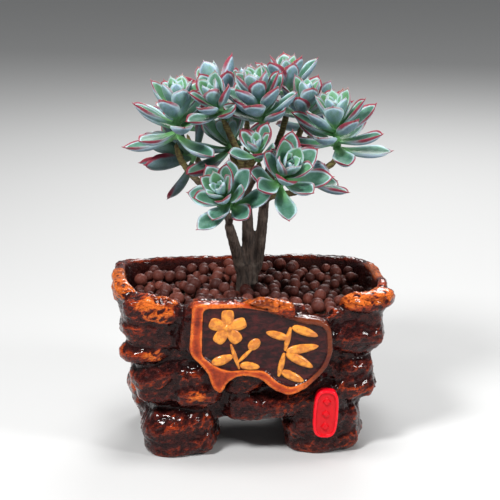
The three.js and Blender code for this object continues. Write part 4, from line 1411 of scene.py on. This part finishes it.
def grow_leaf(bm, rosette, leaf, sphere, mucro, age, seed):
    """Adds one fleshy leaf: channelled above, keeled beneath, waved a little, with a sharp point."""
    length = leaf[3]
    half_width = 0.5 * min(LEAF_WIDTH * length, WIDEST_LEAF)
    wave = [vary(seed + k) for k in range(4)]
    before = len(bm.verts)
    bm.from_mesh(sphere)
    # Nothing has been removed from this bmesh yet, so its newest vertices come last
    verts = list(bm.verts)[before:]
    unit = np.array([v.co for v in verts])
    c, s = (unit[:, k] / np.maximum(np.hypot(unit[:, 0], unit[:, 1]), 1e-9) for k in (0, 1))
    t = np.arccos(np.clip(-unit[:, 2], -1, 1)) / math.pi
    t = t + 0.06 * np.sin(math.tau * t)
    reach = t * (1 + mucro / length)
    body = np.minimum(reach, 1)
    middle, upward, side = leaf_frame(rosette, leaf, reach)
    share = leaf_outline(body, SPOON_POWER)
    to_tip = (length + mucro) * (1 - t)
    point = np.minimum(0.42 * np.minimum(1, to_tip / (1.6 * mucro + 0.01)) ** 0.7, half_width)
    half = np.where(t > 0.5, np.maximum(half_width * share, point), half_width * share)
    ends = np.minimum(1, t / ROOT_END) * (1 - body**8)
    full = np.maximum(LEAF_THICKNESS * length * mix(0.4, 1, share) * ends, 1.6 * point * (body > 0.9))
    section = np.where(s > 0, (1 - KEEL) * s, -KEEL * np.abs(s) ** 1.35)
    ripple = 0.05 * half * wave[0] * np.sin(7 * t + 3 * wave[1]) * c * np.abs(c)
    lift = LEAF_CUP * half * c * c + full * section + ripple
    across = half * c * (1 + 0.04 * wave[3]) + 0.03 * length * wave[2] * t * t
    places = middle + upward * lift[:, None] + np.outer(across, side)
    margin = np.minimum(half * (1 - np.abs(c)), 0.6 * to_tip)
    upper = np.clip(0.5 + 2.5 * s, 0, 1)
    tone, shaded = 0.5 + 0.5 * vary(seed + 9), SHADED.get(rosette.name, 0)
    layers = [bm.verts.layers.float[name] for name in LEAF_MARKS]
    for k, vert in enumerate(verts):
        vert.co = places[k]
        for layer, value in zip(layers, (t[k], margin[k], upper[k], age, tone, shaded)):
            vert[layer] = value


def grow_stalk(bm, rosette):
    """Adds the fleshy stalk that the leaves stand on. Making it frees vertices, so it comes after them."""
    start = Vector(rosette.base + rosette.axis * GAP)
    top = Vector(rosette.base + rosette.axis * rosette.height)

    def place(t, around):
        r = mix(STALK_R, 0.5 * STALK_R, t) * min(1, math.sqrt(30 * t), math.sqrt(12 * (1 - t)))
        round_it = rosette.across * math.cos(around) + rosette.away * math.sin(around)
        return start.lerp(top, t) + Vector(round_it * r)

    marks = dict(along=0.0, margin=4.0, upper=0.0, age=0.6, tone=0.5, shaded=0.0)
    for vert in round_form(bm, 18, 14, place):
        for name, value in marks.items():
            vert[bm.verts.layers.float[name]] = value


class ECHEVERIA_OT_rosettes(bpy.types.Operator):
    """Grows the rosettes of fleshy leaves, one at the end of each branch"""

    bl_idname = "echeveria.rosettes"
    bl_label = "Grow Rosettes"

    def execute(self, context):
        settings = context.scene.echeveria_plant
        rosettes = [Rosette(*row) for row in ROSETTES]
        skin = leaf_skin(settings)
        sphere, small = unit_sphere(settings.sides, settings.rings), unit_sphere(12, 12)
        grown, crowd = grow_leaves(rosettes)
        for number, (rosette, leaves) in enumerate(zip(rosettes, grown)):
            buds = [
                (k, bud) for k, bud in enumerate(rosette.buds(settings.buds))
                if crowd.leaves_room(leaf_points(rosette, bud, PROBE_T, PROBE_AROUND), number)
            ]
            bm = bmesh.new()
            for name in LEAF_MARKS:
                bm.verts.layers.float.new(name)
            mucro, seed = settings.mucro / MM, ROSETTE_SEEDS * number
            widest = max(leaf[2] for leaf in leaves)
            for k, leaf in enumerate(leaves):
                grow_leaf(bm, rosette, leaf, sphere, mucro, clamp(leaf[2] / widest), seed + k)
            for k, bud in buds:
                age = 0.1 - 0.1 * k / settings.buds
                grow_leaf(bm, rosette, bud, small, 0.6 * mucro, age, seed + BUD_SEEDS + k)
            grow_stalk(bm, rosette)
            finish_piece("leaves_" + rosette.name, bm, skin, "rosette_" + rosette.name)
        for mesh in (sphere, small):
            bpy.data.meshes.remove(mesh)
        return {"FINISHED"}


def leaf_skin(settings):
    """Fleshy skin under a waxy bloom, with crimson margins and point, and painted shade on the shaded
    rosettes.
    """
    made = Finish(
        "leaf_skin", Subsurface_Weight=0.2, Subsurface_Scale=0.002, Sheen_Weight=0.15,
        Sheen_Roughness=0.3, IOR=1.42, Specular_IOR_Level=0.4,
    )
    made.shader.inputs["Subsurface Radius"].default_value = (0.6, 1.0, 0.35)
    made.shader.inputs["Sheen Tint"].default_value = (0.8, 0.9, 1.0, 1.0)
    along_leaf, margin, upper = (made.attribute(n) for n in ("along", "margin", "upper"))
    age, tone, shaded = (made.attribute(n) for n in ("age", "tone", "shaded"))
    mottle = made.noise(2.8, 4, 0.6)
    dusting = made.noise(8, 5, 0.65)
    velvet = made.noise(0.8, 3)
    root_glow = made.ease(along_leaf, 0.55, 0.05)
    young = made.ease(age, 0.62, 0.12)
    green = made.blend(tone * 0.5, settings.green, (0.035, 0.12, 0.075))
    green = made.blend((0.8 * root_glow + 0.6 * young).clamped(), green, settings.young_green)
    # Painted shade: the shaded rosettes are painted a dull green
    green = made.blend(shaded * 0.85, green, settings.shade_green)
    heart = made.ease(age, 0.22, 0.06)
    powder = made.ease(margin, 3.2, 0.7)
    bloom = 0.03 + 0.25 * made.ease(dusting, 0.32, 0.72) + 0.34 * powder + 0.34 * (1 - upper)
    bloom = bloom * (0.62 + 0.38 * made.ease(mottle, 0.30, 0.62)) + 0.35 * heart
    # Painted shade: less bloom on the shaded rosettes
    bloom = bloom * (0.55 + 0.9 * velvet) * (1 - 0.8 * root_glow) * (1 - 0.65 * shaded)
    waxy = made.blend(upper, (0.27, 0.37, 0.56), settings.bloom)
    body = made.blend(bloom.clamped(), green, waxy)
    grown = made.ease(age, 0.10, 0.45)
    flush = made.ease(along_leaf + 0.25 * (mottle - 0.5) + 0.5 * (tone - 0.5), 0.42, 0.84)
    width = 0.35 + 1.45 * flush * grown
    # Painted shade: no frost on the shaded rosettes
    frosted = made.ease(margin - 0.7 * width, 1.5, 0.3) * made.ease(along_leaf, 0.15, 0.45) * (1 - shaded)
    body = made.blend(frosted * 0.65, body, (0.58, 0.74, 0.82))
    line = made.ease((margin + 0.8 * (mottle - 0.5)) / width, 1.15, 0.55) * flush * (0.25 + 0.75 * grown)
    tip = made.ease(along_leaf, 0.90, 0.97) * (0.35 + 0.65 * grown)
    scarlet = made.blend(dusting, settings.crimson, (0.30, 0.004, 0.034))
    body = made.blend(line.larger(tip).clamped() * 0.95, body, scarlet)
    roughness = 0.40 + 0.28 * bloom
    relief = made.relief((made.noise(0.9, 2), 0.06), (mottle, 0.22))
    return made.done(Base_Color=body, Roughness=roughness, Normal=relief)


# Stage: the camera's sensor and lens, the height that it looks at, and half the floor's width in metres
SENSOR = 36
LENS = 138.24
LOOK_HEIGHT = 118
FLOOR_SIZE = 40
# Lights: name, place and size in metres, and power, and the height that all of them are aimed at
LIGHTS = (
    ("key", (-0.50, -0.70, 1.00), 0.24, 18),
    ("fill", (0.95, -0.75, 0.60), 0.26, 9),
    ("rim", (0.30, 0.95, 0.85), 0.5, 9),
    ("top", (0.05, -0.05, 1.3), 0.35, 9),
)
LIT_HEIGHT = 0.13
WORLD_COLOUR = (0.86, 0.88, 0.9, 1)
WORLD_STRENGTH = 0.24


class ECHEVERIA_OT_stage(bpy.types.Operator):
    """Lays the pale floor and sets the soft lights and the camera"""

    bl_idname = "echeveria.stage"
    bl_label = "Set Stage"

    def execute(self, context):
        settings = context.scene.echeveria_stage
        self.floor(settings)
        for row in LIGHTS:
            self.light(*row)
        self.world(context)
        self.camera(context, settings)
        context.scene.view_settings.view_transform = "Standard"
        return {"FINISHED"}

    def floor(self, settings):
        bm = bmesh.new()
        bmesh.ops.create_grid(bm, x_segments=1, y_segments=1, size=FLOOR_SIZE)
        mesh = mesh_of("floor", bm)
        made = Finish("floor_paint", IOR=1.4)
        cloudy = made.noise(400, 3)
        body = made.blend(cloudy * 0.15, settings.floor, (0.56, 0.56, 0.57))
        mesh.materials.append(made.done(Base_Color=body, Roughness=0.7 + 0.1 * cloudy))
        linked("floor", mesh)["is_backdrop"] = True

    def light(self, name, place, size, power):
        lamp = bpy.data.lights.new(name, "AREA")
        lamp.size = size
        lamp.energy = power
        made = linked(name, lamp)
        made.location = place
        aim = Vector((0, 0, LIT_HEIGHT)) - made.location
        made.rotation_euler = aim.to_track_quat("-Z", "Y").to_euler()

    def world(self, context):
        world = bpy.data.worlds.new("studio")
        context.scene.world = world
        world.use_nodes = True
        background = world.node_tree.nodes["Background"]
        background.inputs["Color"].default_value = WORLD_COLOUR
        background.inputs["Strength"].default_value = WORLD_STRENGTH

    def camera(self, context, settings):
        turn, lift = settings.azimuth, settings.elevation
        back = Vector((
            math.sin(turn) * math.cos(lift), -math.cos(turn) * math.cos(lift), math.sin(lift),
        ))
        lens = bpy.data.cameras.new("camera")
        lens.sensor_width = SENSOR
        lens.lens = LENS
        made = linked("camera", lens)
        made.location = DRAWING @ Vector((0, 0, LOOK_HEIGHT)) + back * settings.distance
        made.rotation_euler = (-back).to_track_quat("-Z", "Y").to_euler()
        context.scene.camera = made


class ECHEVERIA_PT_panel(bpy.types.Panel):
    """Lists the pieces and their settings"""

    bl_idname = "ECHEVERIA_PT_panel"
    bl_label = "Potted Echeveria"
    bl_space_type = "VIEW_3D"
    bl_region_type = "UI"
    bl_category = "Echeveria"

    def draw(self, context):
        for name, operators in STEPS.items():
            group = getattr(context.scene, name)
            box = self.layout.box()
            for operator in operators:
                box.operator(operator.bl_idname)
            for key in group.bl_rna.properties.keys():
                if key not in ("rna_type", "name"):
                    box.prop(group, key)


GROUPS = {
    "echeveria_pot": PotSettings,
    "echeveria_plant": PlantSettings,
    "echeveria_granules": GranuleSettings,
    "echeveria_stage": StageSettings,
}
STEPS = {
    "echeveria_stage": (ECHEVERIA_OT_stage,),
    "echeveria_pot": (
        ECHEVERIA_OT_pot, ECHEVERIA_OT_plaque, ECHEVERIA_OT_ornaments, ECHEVERIA_OT_tablet,
    ),
    "echeveria_granules": (ECHEVERIA_OT_granules, ECHEVERIA_OT_filling),
    "echeveria_plant": (ECHEVERIA_OT_stem, ECHEVERIA_OT_rosettes),
}
OPERATORS = [operator for operators in STEPS.values() for operator in operators]


def register():
    for kind in (*GROUPS.values(), *OPERATORS, ECHEVERIA_PT_panel):
        bpy.utils.register_class(kind)
    for name, group in GROUPS.items():
        setattr(bpy.types.Scene, name, PointerProperty(type=group))


def unregister():
    for name in GROUPS:
        delattr(bpy.types.Scene, name)
    for kind in reversed((*GROUPS.values(), *OPERATORS, ECHEVERIA_PT_panel)):
        bpy.utils.unregister_class(kind)


def main():
    register()
    for operator in OPERATORS:
        group, name = operator.bl_idname.split(".")
        getattr(getattr(bpy.ops, group), name)()
    boxes = {"cad": CAD_BOX, "visual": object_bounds()}
    {key: [list(corner) for corner in box] for key, box in boxes.items()}


if __name__ == "__main__":
    main()
